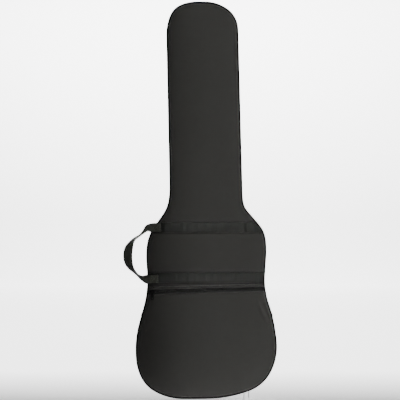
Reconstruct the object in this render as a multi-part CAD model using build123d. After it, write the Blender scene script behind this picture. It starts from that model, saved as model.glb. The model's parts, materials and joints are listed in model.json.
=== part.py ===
from build123d import *
import os
from math import atan2, cos, degrees, hypot, radians, sin, tan

# A padded gig bag for an electric guitar, in millimetres.
# X points to the right seen from the front, Y to the back, Z up along the neck.
# Heights are written above the bag's bottom edge; save() moves them to the row's origin,
# which is the point of the back panel that rests on the wearer.

os.makedirs("parts", exist_ok=True)

# ---- Overall sizes -----------------------------------------------------------------
BAG_LENGTH = 1050.0          # bottom edge to the tip of the neck
BAG_DEPTH = 70.0             # front panel's face to back panel's face
LOWER_BOUT_WIDTH = 380.0     # across the widest part of the body, at the piping
UPPER_BOUT_WIDTH = 320.0
WAIST_WIDTH = 305.0
NECK_WIDTH = 193.0           # where the neck leaves the body
TIP_WIDTH = 190.0            # across the neck's far end
TIP_LEAN = 11.0              # how far the tip sits to the left of the body's middle
LOWER_BOUT_HEIGHT = 115.0    # heights of the widest and narrowest places
WAIST_HEIGHT = 289.0
UPPER_BOUT_HEIGHT = 390.0
NECK_FOOT_HEIGHT = 538.0
BACK_MOUNT_HEIGHT = 400.0    # centre of the panel that rests on the wearer's back

# ---- Fabric, foam and trim ---------------------------------------------------------
SHELL_THICKNESS = 1.2
LINING_THICKNESS = 0.8
PANEL_FOAM = 8.0
GUSSET_FOAM = 4.0
PIPING_SIZE = 4.0
PIPING_ROUNDING = 1.8
BINDING_SIZE = 3.0
ROUNDING = 0.5               # share of the shorter run that a corner's arc takes

# ---- Main zip ----------------------------------------------------------------------
BACK_HALF_DEPTH = 30.0       # back face to the middle of the zip
ZIP_SLIT = 1.4               # between the two coils
COIL_WIDTH = 2.2
COIL_THICKNESS = 2.4
TAPE_THICKNESS = 0.8
ZIP_EXPOSED = 10.0           # middle of the zip to the edge of the gusset's fabric
FOAM_TO_ZIP = 6.0            # middle of the zip to the edge of the gusset's foam
SPINE_BOTTOM = 130.0         # the gusset has no zip on the left between these heights
SPINE_TOP = 385.0
SPINE_REACH = 100.0          # everything left of this x at those heights is spine
STOP_LENGTH = 4.0
SLIDER_GAP = 1.0             # between the noses of the two main sliders

# ---- Sliders and pulls -------------------------------------------------------------
SLIDER_LENGTH = 12.0
SLIDER_WIDTH = 9.6
PLATE_THICKNESS = 1.2
PLATE_CLEARANCE = 0.45       # coil to either plate
POST_THICKNESS = 0.8
POST_LENGTH = 3.0
BRIDGE_HEIGHT = 2.5          # plate to the middle of the bridge's bar
BRIDGE_LENGTH = 6.0
BRIDGE_RADIUS = 0.7
PULL_THICKNESS = 1.6
PULL_WIDTH = 8.0
PULL_LENGTH = 21.0
PULL_WINDOW = 5.5            # open length between the pull's arms
PULL_PIVOT_HEIGHT = 1.0      # plate to the middle of the pull's crossbar
PULL_BAR_RADIUS = 0.5
PULL_HOLE_RADIUS = 2.0
PULL_HOLE_EDGE = 2.2         # metal left below the hole
RING_RADIUS = 1.7            # middle of the wire of the pocket pull's ring
RUNNING_GAP = 0.3

# ---- Front pocket ------------------------------------------------------------------
POCKET_FULLNESS = 8.0        # hollow between the front shell and the pocket panel
POCKET_ZIP_HEIGHT = 288.0
POCKET_ZIP_TILT = 1.6        # degrees, rising to the right
POCKET_TAPE_BELOW = 6.8      # middle of the zip to the pocket panel's edge
POCKET_WELT_TOP = 12.0       # middle of the zip to the top of the welt
POCKET_END_CLEARANCE = 1.0   # stops to the pocket's side walls
POCKET_SLIDER_MARGIN = 0.5   # slider to the stop

# ---- Bands and handle --------------------------------------------------------------
WEBBING_THICKNESS = 1.6
BAND_WIDTH = 30.0
LOWER_BAND_HEIGHT = 321.0    # middle of each band
UPPER_BAND_HEIGHT = 453.0
BAND_CLEARANCE = 0.3
HANDLE_WIDTH = 25.0
HANDLE_THICKNESS = 2.4
HANDLE_REACH = 72.0          # root line to the outside of the loop
HANDLE_TILT = 2.0            # degrees that the loop leans forward

# ---- Shoulder straps ---------------------------------------------------------------
STRAP_TOP_HEIGHT = 575.0
STRAP_TOP_SPREAD = 42.0
STRAP_TAB_HEIGHT = 226.0     # where the straps meet the side seams
STRAP_SEAM_INSET = 12.0      # side seam to the strap's lower end
STRAP_ROOT_HEIGHT = 7.0      # back panel to the strap's end
STRAP_WEBBING_WIDTH = 25.0
STRAP_PAD_WIDTH = 56.0
STRAP_PAD_THICKNESS = 10.0
STRAP_BOW = 56.0             # how far the strap stands off the back
STRAP_PAD_START = 25.0
STRAP_PAD_END = 235.0
STRAP_ROUNDING = 0.45
STRAP_TAB_LENGTH = 14.0
STRAP_TAB_THICKNESS = 8.0
STRAP_TAB_GAP = 0.6
ADJUSTER_WIDTH = 33.0
ADJUSTER_LENGTH = 20.0
ADJUSTER_THICKNESS = 5.2
ADJUSTER_CLEARANCE = 0.4
ADJUSTER_WINDOW = 5.0
ADJUSTER_PLACE = 312.0       # along the strap from its top end
PATCH_WIDTH = 130.0
PATCH_HEIGHT = 36.0
PATCH_THICKNESS = 1.6

# ---- Places that follow from the sizes above ---------------------------------------
FRONT = -BAG_DEPTH
ZIP_PLANE = -BACK_HALF_DEPTH
GUSSET_FACE = PIPING_SIZE
FOAM_FACE = GUSSET_FACE + SHELL_THICKNESS
LINING_FACE = FOAM_FACE + GUSSET_FOAM
INNER_FACE = LINING_FACE + LINING_THICKNESS
PANEL_STACK = SHELL_THICKNESS + PANEL_FOAM
COIL_CENTRE = GUSSET_FACE + 0.4
COIL_FAR_SIDE = ZIP_SLIT / 2 + COIL_WIDTH
POCKET_FACE = FRONT - POCKET_FULLNESS - SHELL_THICKNESS
POCKET_COIL_CENTRE = POCKET_FACE + TAPE_THICKNESS / 2
PLATE_INSIDE = COIL_THICKNESS / 2 + PLATE_CLEARANCE
PLATE_OUTSIDE = PLATE_INSIDE + PLATE_THICKNESS
FAR = 2 * BAG_LENGTH


# ---- Geometry helpers --------------------------------------------------------------
def outline_corners():
    """Corners of the bag's outline before rounding, clockwise from the tip's left end."""
    tip = TIP_WIDTH / 2
    neck = NECK_WIDTH / 2
    upper = UPPER_BOUT_WIDTH / 2
    waist = WAIST_WIDTH / 2
    lower = LOWER_BOUT_WIDTH / 2
    right = [
        (41 - TIP_LEAN, BAG_LENGTH),
        (tip - TIP_LEAN, BAG_LENGTH - 39),
        (neck, NECK_FOOT_HEIGHT - 8),
        (neck + 4, NECK_FOOT_HEIGHT - 31),
        (upper - 4, UPPER_BOUT_HEIGHT + 53),
        (upper, UPPER_BOUT_HEIGHT + 4),
        (waist, WAIST_HEIGHT + 1),
        (lower - 12, LOWER_BOUT_HEIGHT + 102),
        (lower + 2, LOWER_BOUT_HEIGHT),
        (lower - 37, 34),
        (lower - 137, 1),
    ]
    left = [
        (95 - lower, 0),
        (32 - lower, 30),
        (5 - lower, LOWER_BOUT_HEIGHT - 33),
        (2 - lower, LOWER_BOUT_HEIGHT + 48),
        (-waist, WAIST_HEIGHT - 1),
        (-upper, UPPER_BOUT_HEIGHT - 4),
        (7 - upper, UPPER_BOUT_HEIGHT + 43),
        (-neck - 6, NECK_FOOT_HEIGHT - 33),
        (-neck, NECK_FOOT_HEIGHT + 7),
        (-tip - TIP_LEAN, BAG_LENGTH - 64),
        (18 - tip - TIP_LEAN, BAG_LENGTH - 17),
        (-36 - TIP_LEAN, BAG_LENGTH),
    ]
    return right + left


LOWER_RIGHT_CORNER = 9       # the two arcs that meet at the main sliders
BOTTOM_CORNER = 10


def unit(a, b):
    """Direction of one unit from a to b in the plane."""
    length = hypot(b[0] - a[0], b[1] - a[1])
    return (b[0] - a[0]) / length, (b[1] - a[1]) / length


def corner_arc(before, corner, after, share, inset=0.0):
    """Start, middle, end and centre of the arc that rounds a corner.

    A positive inset moves the arc to the right of the way it is walked, about the same centre.
    """
    way_in = unit(before, corner)
    way_out = unit(corner, after)
    run_in = hypot(corner[0] - before[0], corner[1] - before[1])
    run_out = hypot(after[0] - corner[0], after[1] - corner[1])
    tangent = share * min(run_in, run_out)
    cross = way_in[0] * way_out[1] - way_in[1] * way_out[0]
    turn = atan2(cross, way_in[0] * way_out[0] + way_in[1] * way_out[1])
    radius = -tangent / tan(turn / 2)
    right_in = (way_in[1], -way_in[0])
    right_out = (way_out[1], -way_out[0])
    both = hypot(right_in[0] + right_out[0], right_in[1] + right_out[1])
    right_mid = ((right_in[0] + right_out[0]) / both, (right_in[1] + right_out[1]) / both)
    start = (corner[0] - way_in[0] * tangent, corner[1] - way_in[1] * tangent)
    centre = (start[0] + right_in[0] * radius, start[1] + right_in[1] * radius)

    def on_arc(normal):
        return centre[0] - normal[0] * (radius - inset), centre[1] - normal[1] * (radius - inset)

    return on_arc(right_in), on_arc(right_mid), on_arc(right_out), centre


def arcs_along(corners, inset, closed, share):
    """The arcs of a rounded path, one for each corner that it turns at."""
    count = len(corners)
    turning = range(count) if closed else range(1, count - 1)
    return [
        corner_arc(corners[i - 1], corners[i], corners[(i + 1) % count], share, inset)[:3]
        for i in turning
    ]


def shifted_end(a, b, at_end, inset):
    """An end point of the run from a to b, moved to its right."""
    way = unit(a, b)
    point = b if at_end else a
    return point[0] + way[1] * inset, point[1] - way[0] * inset


def joined(stations, place):
    """Edges through the stations: three points are an arc, one is an end, gaps are lines."""
    edges = []
    last = None
    for station in stations:
        points = [place(point) for point in station]
        if last is not None and (points[0] - last).length > 0.001:
            edges.append(Line(last, points[0]))
        if len(points) == 3:
            edges.append(ThreePointArc(*points))
        last = points[-1]
    return edges


def closed_wire(corners, place, inset=0.0, share=ROUNDING):
    """A closed rounded outline."""
    arcs = arcs_along(corners, inset, True, share)
    return Wire(joined(arcs + [arcs[0][:1]], place))


def bag_wire(inset, y):
    """The bag's outline, inset from the piping's outer edge, in the plane at y."""
    return closed_wire(outline_corners(), lambda p: Vector(p[0], y, p[1]), inset)


def slab(inset, front, back):
    """A plate with the bag's outline, from y = front to y = back."""
    return Solid.extrude(Face(bag_wire(inset, front)), Vector(0, back - front, 0))


def ring(outer, inner, front, back):
    """A band that follows the bag's outline between two insets."""
    face = Face(bag_wire(outer, front), [bag_wire(inner, front)])
    return Solid.extrude(face, Vector(0, back - front, 0))


def block(x_from, x_to, y_from, y_to, z_from, z_to):
    """A box given by its two corners."""
    box = Box(x_to - x_from, y_to - y_from, z_to - z_from)
    return Pos((x_from + x_to) / 2, (y_from + y_to) / 2, (z_from + z_to) / 2) * box


def reach_at(height, inset):
    """Left and right x of the bag's outline at one height."""
    level = slab(inset, 0, 1) & block(-FAR, FAR, 0, 1, height - 0.01, height + 0.01)
    box = level.bounding_box()
    return box.min.X, box.max.X


def ribbon(corners, thickness, width):
    """A flat strap along a rounded path in XY, with its width along Z about zero."""
    half = thickness / 2
    first, second = corners[0], corners[1]
    near_last, last = corners[-2], corners[-1]
    right = arcs_along(corners, half, False, STRAP_ROUNDING)
    left = arcs_along(corners, -half, False, STRAP_ROUNDING)
    stations = [[shifted_end(first, second, False, half)]] + right
    stations += [[shifted_end(near_last, last, True, half)], [shifted_end(near_last, last, True, -half)]]
    stations += [arc[::-1] for arc in left[::-1]]
    stations += [[shifted_end(first, second, False, -half)], stations[0]]
    face = Face(Wire(joined(stations, lambda p: Vector(p[0], p[1], -width / 2))))
    return Solid.extrude(face, Vector(0, 0, width))


def save(name, shape):
    """Write one node in the row's frame."""
    export_step(Pos(0, 0, -BACK_MOUNT_HEIGHT) * shape, f"parts/{name}.step")


SPINE_REGION = block(-FAR, -SPINE_REACH, -FAR, FAR, SPINE_BOTTOM, SPINE_TOP)
OUTER_EDGES = bag_wire(0, 0)


# ---- The two padded halves ---------------------------------------------------------
def outermost(edge):
    """Whether an edge of the piping lies on its outer rim."""
    middle = edge @ 0.5
    level = Vector(middle.X, 0, middle.Z)
    return OUTER_EDGES.distance_to(level) < 0.01 and abs(edge.tangent_at(0.5).Y) < 0.5


def half_shell(name, face, inward):
    """Panel and gusset layers of one half; inward is +1 from the front face, -1 from the back."""

    def between(start, end):
        """Front and back y of a layer that lies from start to end inside the face."""
        ys = sorted((face + inward * start, face + inward * end))
        return ys[0], ys[1]

    half_depth = abs(ZIP_PLANE - face)
    fabric_edge = half_depth - ZIP_EXPOSED
    foam_edge = half_depth - FOAM_TO_ZIP
    inside = PANEL_STACK + LINING_THICKNESS
    save(f"{name}_shell", slab(GUSSET_FACE, *between(0, SHELL_THICKNESS)))
    save(f"{name}_foam", slab(FOAM_FACE, *between(SHELL_THICKNESS, PANEL_STACK)))
    save(f"{name}_lining", slab(LINING_FACE, *between(PANEL_STACK, inside)))
    save(f"{name}_gusset_shell", ring(GUSSET_FACE, FOAM_FACE, *between(SHELL_THICKNESS, fabric_edge)))
    save(f"{name}_gusset_foam", ring(FOAM_FACE, LINING_FACE, *between(PANEL_STACK, foam_edge)))
    save(f"{name}_gusset_lining", ring(LINING_FACE, INNER_FACE, *between(inside, foam_edge)))
    binding_inset = INNER_FACE + BINDING_SIZE
    save(f"{name}_seam_binding", ring(INNER_FACE, binding_inset, *between(inside, inside + BINDING_SIZE)))
    piping = ring(0, GUSSET_FACE, *between(0, PIPING_SIZE))
    rims = [edge for edge in piping.edges() if outermost(edge)]
    save(f"{name}_piping", fillet(rims, PIPING_ROUNDING))
    strip = ring(GUSSET_FACE, FOAM_FACE, *between(fabric_edge, half_depth - RUNNING_GAP))
    save(f"spine_gusset_{name}", strip & SPINE_REGION)
    tape_inset = FOAM_FACE - TAPE_THICKNESS
    tape = ring(tape_inset, FOAM_FACE, *between(fabric_edge, half_depth - COIL_FAR_SIDE))
    save(f"main_zip_{name}_tape", tape - SPINE_REGION)
    coil_inset = COIL_CENTRE - COIL_THICKNESS / 2
    coil_layer = between(half_depth - COIL_FAR_SIDE, half_depth - ZIP_SLIT / 2)
    coil = ring(coil_inset, coil_inset + COIL_THICKNESS, *coil_layer)
    if name == "front":
        save("main_zip_front_coil", coil - SPINE_REGION)
        return
    ends = [
        block(-FAR, -SPINE_REACH, -FAR, FAR, SPINE_BOTTOM - STOP_LENGTH, SPINE_BOTTOM),
        block(-FAR, -SPINE_REACH, -FAR, FAR, SPINE_TOP, SPINE_TOP + STOP_LENGTH),
    ]
    save("main_zip_end_stops", Compound([coil & end for end in ends]))
    save("main_zip_back_coil", coil - SPINE_REGION - ends[0] - ends[1])


half_shell("back", 0.0, -1)
half_shell("front", FRONT, 1)


# ---- Webbing bands across the front ------------------------------------------------
def band(height):
    """A flat band on the front panel, from seam to seam."""
    sheet = slab(GUSSET_FACE + BAND_CLEARANCE, FRONT - WEBBING_THICKNESS, FRONT)
    return sheet & block(-FAR, FAR, -FAR, FAR, height - BAND_WIDTH / 2, height + BAND_WIDTH / 2)


save("lower_band", band(LOWER_BAND_HEIGHT))
save("upper_band", band(UPPER_BAND_HEIGHT))


# ---- Front pocket and its zip ------------------------------------------------------
ZIP_TURN = Pos(0, 0, POCKET_ZIP_HEIGHT) * Rot(0, -POCKET_ZIP_TILT, 0)


def along_zip(z_from, z_to):
    """The space between two lines parallel to the pocket zip, measured from its middle."""
    return ZIP_TURN * block(-FAR, FAR, -FAR, FAR, z_from, z_to)


def pocket_panel():
    """The pocket's front face with the walls that run back to the seam, open at the zip."""
    cup = slab(GUSSET_FACE, POCKET_FACE, FRONT)
    cup -= slab(FOAM_FACE, POCKET_FACE + SHELL_THICKNESS, FRONT)
    cup -= along_zip(POCKET_WELT_TOP, FAR)
    mouth = slab(FOAM_FACE, POCKET_FACE, FRONT)
    return cup - (mouth & along_zip(-POCKET_TAPE_BELOW, FAR))


save("pocket_panel", pocket_panel())
tape_sheet = slab(FOAM_FACE, POCKET_FACE, POCKET_FACE + TAPE_THICKNESS)
save("pocket_zip_lower_tape", tape_sheet & along_zip(-POCKET_TAPE_BELOW, -COIL_FAR_SIDE))
save("pocket_zip_upper_tape", tape_sheet & along_zip(COIL_FAR_SIDE, POCKET_WELT_TOP))
welt_sheet = slab(FOAM_FACE, POCKET_FACE + TAPE_THICKNESS, FRONT)
save("pocket_zip_welt", welt_sheet & along_zip(POCKET_WELT_TOP - WEBBING_THICKNESS, POCKET_WELT_TOP))

zip_left, zip_right = reach_at(POCKET_ZIP_HEIGHT, FOAM_FACE)
zip_left += POCKET_END_CLEARANCE
zip_right -= POCKET_END_CLEARANCE
coil_left = zip_left + STOP_LENGTH / 2
coil_right = zip_right - STOP_LENGTH / 2
COIL_FRONT = POCKET_COIL_CENTRE - COIL_THICKNESS / 2
COIL_BACK = POCKET_COIL_CENTRE + COIL_THICKNESS / 2


def pocket_chain(x_from, x_to, z_from, z_to):
    """A bar of the pocket zip's chain, laid along the tilted zip."""
    return ZIP_TURN * block(x_from, x_to, COIL_FRONT, COIL_BACK, z_from, z_to)


save("pocket_zip_upper_coil", pocket_chain(coil_left, coil_right, ZIP_SLIT / 2, COIL_FAR_SIDE))
save("pocket_zip_lower_coil", pocket_chain(coil_left, coil_right, -COIL_FAR_SIDE, -ZIP_SLIT / 2))
stops = [
    pocket_chain(zip_left, coil_left, -COIL_FAR_SIDE, COIL_FAR_SIDE),
    pocket_chain(coil_right, zip_right, -COIL_FAR_SIDE, COIL_FAR_SIDE),
]
save("pocket_zip_stops", Compound(stops))


# ---- Sliders and pulls -------------------------------------------------------------
def slider(closed_sides):
    """A zip slider: X along the chain with its nose at +X, Y across it, Z outwards."""
    body = block(-SLIDER_LENGTH / 2, SLIDER_LENGTH / 2, -SLIDER_WIDTH / 2, SLIDER_WIDTH / 2,
                 PLATE_INSIDE, PLATE_OUTSIDE)
    body += Pos(0, 0, -PLATE_INSIDE - PLATE_OUTSIDE) * body
    corners = body.edges().filter_by(Axis.Z)
    body = fillet(corners, SLIDER_LENGTH / 5)
    body += block(SLIDER_LENGTH / 2 - POST_LENGTH - 1, SLIDER_LENGTH / 2 - 1,
                  -POST_THICKNESS / 2, POST_THICKNESS / 2, -PLATE_OUTSIDE + 0.1, PLATE_OUTSIDE - 0.1)
    for side in closed_sides:
        near, far = sorted((side * (COIL_FAR_SIDE + RUNNING_GAP), side * SLIDER_WIDTH / 2))
        lip = block(-SLIDER_LENGTH / 3, SLIDER_LENGTH / 3, near, far, TAPE_THICKNESS / 2 + RUNNING_GAP,
                    PLATE_INSIDE + 0.1)
        body += lip
    bar_height = PLATE_OUTSIDE + BRIDGE_HEIGHT
    bar = Rot(0, 90, 0) * Cylinder(BRIDGE_RADIUS, BRIDGE_LENGTH + 2 * BRIDGE_RADIUS)
    body += Pos(0, 0, bar_height) * bar
    for end in (-1, 1):
        leg = Cylinder(BRIDGE_RADIUS, BRIDGE_HEIGHT + 0.4)
        body += Pos(end * BRIDGE_LENGTH / 2, 0, PLATE_OUTSIDE + (BRIDGE_HEIGHT - 0.4) / 2) * leg
    return body


def pull_tab(top):
    """The flat tab of a pull, hanging from z = -top, with its hole near the lower end."""
    tab = block(-PULL_WIDTH / 2, PULL_WIDTH / 2, -PULL_THICKNESS / 2, PULL_THICKNESS / 2,
                -PULL_LENGTH, -top)
    tab = fillet(tab.edges().filter_by(Axis.Y), PULL_WIDTH / 4)
    hole = Rot(90, 0, 0) * Cylinder(PULL_HOLE_RADIUS, 2 * PULL_THICKNESS)
    return tab - Pos(0, 0, PULL_HOLE_RADIUS + PULL_HOLE_EDGE - PULL_LENGTH) * hole


def window_pull():
    """A pull with two arms and a crossbar along X that lies under a slider's bridge."""
    pull = pull_tab(PULL_WINDOW)
    arm_near = BRIDGE_RADIUS + 2 * RUNNING_GAP
    arm_far = arm_near + 1.0
    for side in (-1, 1):
        near, far = sorted((side * arm_near, side * arm_far))
        pull += block(near, far, -PULL_BAR_RADIUS, PULL_BAR_RADIUS, -PULL_WINDOW - 0.5, 0)
    return pull + Rot(0, 90, 0) * Cylinder(PULL_BAR_RADIUS, 2 * arm_far)


def ring_pull():
    """A pull that hangs by a wire ring about a bar along X."""
    ring_wire = Rot(0, 90, 0) * Torus(RING_RADIUS, PULL_BAR_RADIUS)
    return pull_tab(RING_RADIUS + PULL_BAR_RADIUS / 2) + ring_wire


class MainSlider:
    """A main slider on one arc of the outline, nose to nose with the other."""

    def __init__(self, corner_index, at_start):
        corners = outline_corners()
        here = corners[corner_index]
        start, _, end, centre = corner_arc(
            corners[corner_index - 1], here, corners[corner_index + 1], ROUNDING, COIL_CENTRE)
        other = corner_arc(
            corners[corner_index - 2 if at_start else corner_index],
            corners[corner_index - 1 if at_start else corner_index + 1],
            corners[corner_index if at_start else corner_index + 2], ROUNDING, COIL_CENTRE)
        arc_end = start if at_start else end
        other_end = other[2] if at_start else other[0]
        straight = hypot(arc_end[0] - other_end[0], arc_end[1] - other_end[1])
        radius = hypot(arc_end[0] - centre[0], arc_end[1] - centre[1])
        into_arc = max(0.0, (SLIDER_LENGTH + SLIDER_GAP - straight) / 2)
        lead = into_arc / radius
        angle = atan2(arc_end[1] - centre[1], arc_end[0] - centre[0])
        angle += -lead if at_start else lead
        outward = Vector(cos(angle), 0, sin(angle))
        on_coil = Vector(centre[0], ZIP_PLANE, centre[1]) + outward * radius
        nose = -1 if at_start else 1
        forward = Vector(nose * outward.Z, 0, -nose * outward.X)
        self.plane = Plane(origin=on_coil, x_dir=forward, z_dir=outward)
        self.pivot = on_coil + outward * (PLATE_OUTSIDE + PULL_PIVOT_HEIGHT)
        self.back_side = 1 if self.plane.y_dir.Y > 0 else -1


main_sliders = {
    "left": MainSlider(BOTTOM_CORNER, True),
    "right": MainSlider(LOWER_RIGHT_CORNER, False),
}
for side_name, spot in main_sliders.items():
    save(f"main_zip_slider_{side_name}", spot.plane.location * slider([spot.back_side]))
    save(f"main_zip_pull_{side_name}", Pos(spot.pivot) * Rot(0, 0, 90) * window_pull())

pocket_slider_start = coil_left + POCKET_SLIDER_MARGIN + SLIDER_LENGTH / 2
pocket_slider_end = coil_right - POCKET_SLIDER_MARGIN - SLIDER_LENGTH / 2
ON_POCKET_ZIP = ZIP_TURN * Pos(pocket_slider_start, POCKET_COIL_CENTRE, 0) * Rot(90, 0, 0)
save("pocket_zip_slider", ON_POCKET_ZIP * slider([-1, 1]))
POCKET_PIVOT = (ON_POCKET_ZIP * Pos(0, 0, PLATE_OUTSIDE + BRIDGE_HEIGHT)).position
save("pocket_zip_pull", Pos(POCKET_PIVOT) * ring_pull())


# ---- Carry handle ------------------------------------------------------------------
HANDLE_PLANE_Y = FRONT - WEBBING_THICKNESS - RUNNING_GAP - HANDLE_THICKNESS / 2
lower_root = Vector(reach_at(LOWER_BAND_HEIGHT, 0)[0], HANDLE_PLANE_Y, LOWER_BAND_HEIGHT - 5)
upper_root = Vector(reach_at(UPPER_BAND_HEIGHT, 0)[0], HANDLE_PLANE_Y, UPPER_BAND_HEIGHT - 1)
HANDLE_SPAN = (upper_root - lower_root).length


def handle_webbing():
    """The loop as a flat crescent: X away from the root line, Y along it from the lower root."""
    inner = HANDLE_REACH - HANDLE_WIDTH
    corners = [
        (0, HANDLE_SPAN + 11), (20, HANDLE_SPAN + 9),
        (HANDLE_REACH, HANDLE_SPAN * 0.64), (HANDLE_REACH, HANDLE_SPAN * 0.29),
        (22, -8), (0, -14),
        (0, 10), (22, 9),
        (inner, HANDLE_SPAN * 0.26), (inner, HANDLE_SPAN * 0.64),
        (20, HANDLE_SPAN - 9), (0, HANDLE_SPAN - 6),
    ]
    wire = closed_wire(corners, lambda p: Vector(p[0], p[1], -HANDLE_THICKNESS / 2), share=0.4)
    return Solid.extrude(Face(wire), Vector(0, 0, HANDLE_THICKNESS))


root_line = (upper_root - lower_root).normalized()
outwards = Vector(0, 1, 0).cross(root_line)
if outwards.X > 0:
    outwards = -outwards
lean = Vector(0, -1, 0) * sin(radians(HANDLE_TILT)) + outwards * cos(radians(HANDLE_TILT))
HANDLE_FRAME = Plane(origin=lower_root, x_dir=lean, z_dir=lean.cross(root_line))
save("handle_webbing", HANDLE_FRAME.location * handle_webbing())


# ---- Shoulder straps ---------------------------------------------------------------
class Strap:
    """One shoulder strap on a chord from the neck's foot to the side seam."""

    def __init__(self, side):
        seam = reach_at(STRAP_TAB_HEIGHT, 0)[0 if side < 0 else 1]
        self.top = Vector(side * STRAP_TOP_SPREAD, 0, STRAP_TOP_HEIGHT)
        self.bottom = Vector(seam - side * STRAP_SEAM_INSET, 0, STRAP_TAB_HEIGHT)
        self.chord = (self.bottom - self.top).normalized()
        self.length = (self.bottom - self.top).length
        self.plane = Plane(origin=self.top, x_dir=self.chord, z_dir=self.chord.cross(Vector(0, 1, 0)))
        self.knee = (STRAP_PAD_END - 20, STRAP_BOW - 10)

    def path(self):
        """Height off the back panel along the chord."""
        return [
            (0, STRAP_ROOT_HEIGHT), (45, STRAP_BOW - 12), (120, STRAP_BOW), self.knee,
            (self.length, STRAP_ROOT_HEIGHT),
        ]

    def piece(self, thickness, width, start, end):
        """A stretch of the strap between two places along the chord."""
        whole = ribbon(self.path(), thickness, width)
        stretch = block(start, end, -FAR, FAR, -width, width)
        return self.plane.location * (whole & stretch)

    def tab(self, start, end):
        """A sewn stack of webbing on the back panel, which holds an end of the strap."""
        half = STRAP_WEBBING_WIDTH / 2
        return self.plane.location * block(start, end, 0, STRAP_TAB_THICKNESS, -half, half)

    def adjuster_way(self):
        """Direction of the straight webbing that the adjuster slides on."""
        return unit(self.knee, (self.length, STRAP_ROOT_HEIGHT))

    def adjuster(self):
        """A three-bar slide round the webbing."""
        way = self.adjuster_way()
        rise = STRAP_ROOT_HEIGHT + (ADJUSTER_PLACE - self.length) * way[1] / way[0]
        frame = Box(ADJUSTER_LENGTH, ADJUSTER_THICKNESS, ADJUSTER_WIDTH)
        frame = fillet(frame.edges().filter_by(Axis.Y), 3)
        slot_width = STRAP_WEBBING_WIDTH + 2 * ADJUSTER_CLEARANCE
        frame -= Box(2 * ADJUSTER_LENGTH, WEBBING_THICKNESS + 2 * ADJUSTER_CLEARANCE, slot_width)
        for end in (-1, 1):
            frame -= Pos(end * ADJUSTER_LENGTH / 4, 0, 0) * Box(ADJUSTER_WINDOW, ADJUSTER_WIDTH, slot_width)
        turned = Rot(0, 0, degrees(atan2(way[1], way[0]))) * frame
        return self.plane.location * Pos(ADJUSTER_PLACE, rise, 0) * turned


straps = {"left": Strap(-1), "right": Strap(1)}
for side_name, strap in straps.items():
    label = f"strap_{side_name}"
    save(f"{label}_neck", strap.piece(WEBBING_THICKNESS, STRAP_WEBBING_WIDTH, -1, STRAP_PAD_START))
    save(f"{label}_pad", strap.piece(STRAP_PAD_THICKNESS, STRAP_PAD_WIDTH, STRAP_PAD_START, STRAP_PAD_END))
    save(f"{label}_webbing",
         strap.piece(WEBBING_THICKNESS, STRAP_WEBBING_WIDTH, STRAP_PAD_END, strap.length + 1))
    save(f"{label}_adjuster", strap.adjuster())
    save(f"{label}_top_tab", strap.tab(-STRAP_TAB_LENGTH, -STRAP_TAB_GAP))
    save(f"{label}_side_tab",
         strap.tab(strap.length + STRAP_TAB_GAP, strap.length + STRAP_TAB_GAP + STRAP_TAB_LENGTH))

patch_bottom = STRAP_TOP_HEIGHT + STRAP_TAB_LENGTH + STRAP_WEBBING_WIDTH / 4
save("strap_anchor_patch",
     block(-PATCH_WIDTH / 2, PATCH_WIDTH / 2, 0, PATCH_THICKNESS, patch_bottom, patch_bottom + PATCH_HEIGHT))
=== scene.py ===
import json
from math import pi, radians

import bmesh
import bpy
import numpy as np
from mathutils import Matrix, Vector
from mathutils.bvhtree import BVHTree
from mathutils.noise import noise


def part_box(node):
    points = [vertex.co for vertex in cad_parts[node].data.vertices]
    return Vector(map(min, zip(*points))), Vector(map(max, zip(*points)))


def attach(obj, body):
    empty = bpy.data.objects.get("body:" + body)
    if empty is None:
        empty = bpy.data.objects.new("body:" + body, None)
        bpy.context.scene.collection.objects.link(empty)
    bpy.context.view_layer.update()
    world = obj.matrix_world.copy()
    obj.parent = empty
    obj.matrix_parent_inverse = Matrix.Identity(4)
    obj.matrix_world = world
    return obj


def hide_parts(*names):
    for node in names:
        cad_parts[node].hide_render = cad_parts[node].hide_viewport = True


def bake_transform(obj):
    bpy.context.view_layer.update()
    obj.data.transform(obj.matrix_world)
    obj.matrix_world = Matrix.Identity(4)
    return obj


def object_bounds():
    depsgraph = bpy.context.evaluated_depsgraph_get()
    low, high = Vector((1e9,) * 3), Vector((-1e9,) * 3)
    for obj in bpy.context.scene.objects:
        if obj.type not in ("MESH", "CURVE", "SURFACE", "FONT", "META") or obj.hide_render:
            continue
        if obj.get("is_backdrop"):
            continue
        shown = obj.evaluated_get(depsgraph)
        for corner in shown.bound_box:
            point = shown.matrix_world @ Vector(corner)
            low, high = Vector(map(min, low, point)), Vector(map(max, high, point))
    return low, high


bl_info = {
    "name": "Padded Gig Bag",
    "version": (1, 0, 0),
    "blender": (4, 5, 0),
    "location": "View3D > Sidebar > Gig Bag",
    "description": "Dresses the packed gig bag in padded panels, webbing, zips and straps",
    "category": "Object",
}

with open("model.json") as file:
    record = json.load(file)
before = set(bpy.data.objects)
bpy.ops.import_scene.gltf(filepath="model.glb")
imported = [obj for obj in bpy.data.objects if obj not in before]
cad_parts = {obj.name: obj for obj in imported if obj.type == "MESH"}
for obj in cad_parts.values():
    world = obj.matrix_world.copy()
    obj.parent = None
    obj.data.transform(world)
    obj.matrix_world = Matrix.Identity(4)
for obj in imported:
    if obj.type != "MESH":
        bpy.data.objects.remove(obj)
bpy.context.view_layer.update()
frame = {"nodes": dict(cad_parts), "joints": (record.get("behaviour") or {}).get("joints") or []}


# ---- Fixed sizes, in metres --------------------------------------------------------
SEAM_ALLOWANCE = 0.0056
PANEL_INSET = 0.0004
PIPING_STAND_OFF = 0.0019
SEAM_STITCH_INSET = 0.0032
SIDE_STITCH_INSET = 0.0034
TAPE_STITCH_INSET = 0.0024
TOOTH_RADIUS = 0.0005
TOOTH_LENGTH = 0.0036
POCKET_CLOTH = 0.0011
POCKET_EDGE_DROP = 0.0066
BAND_THICKNESS = 0.0014
WEBBING_HALF_WIDTH = 0.0125
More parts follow.
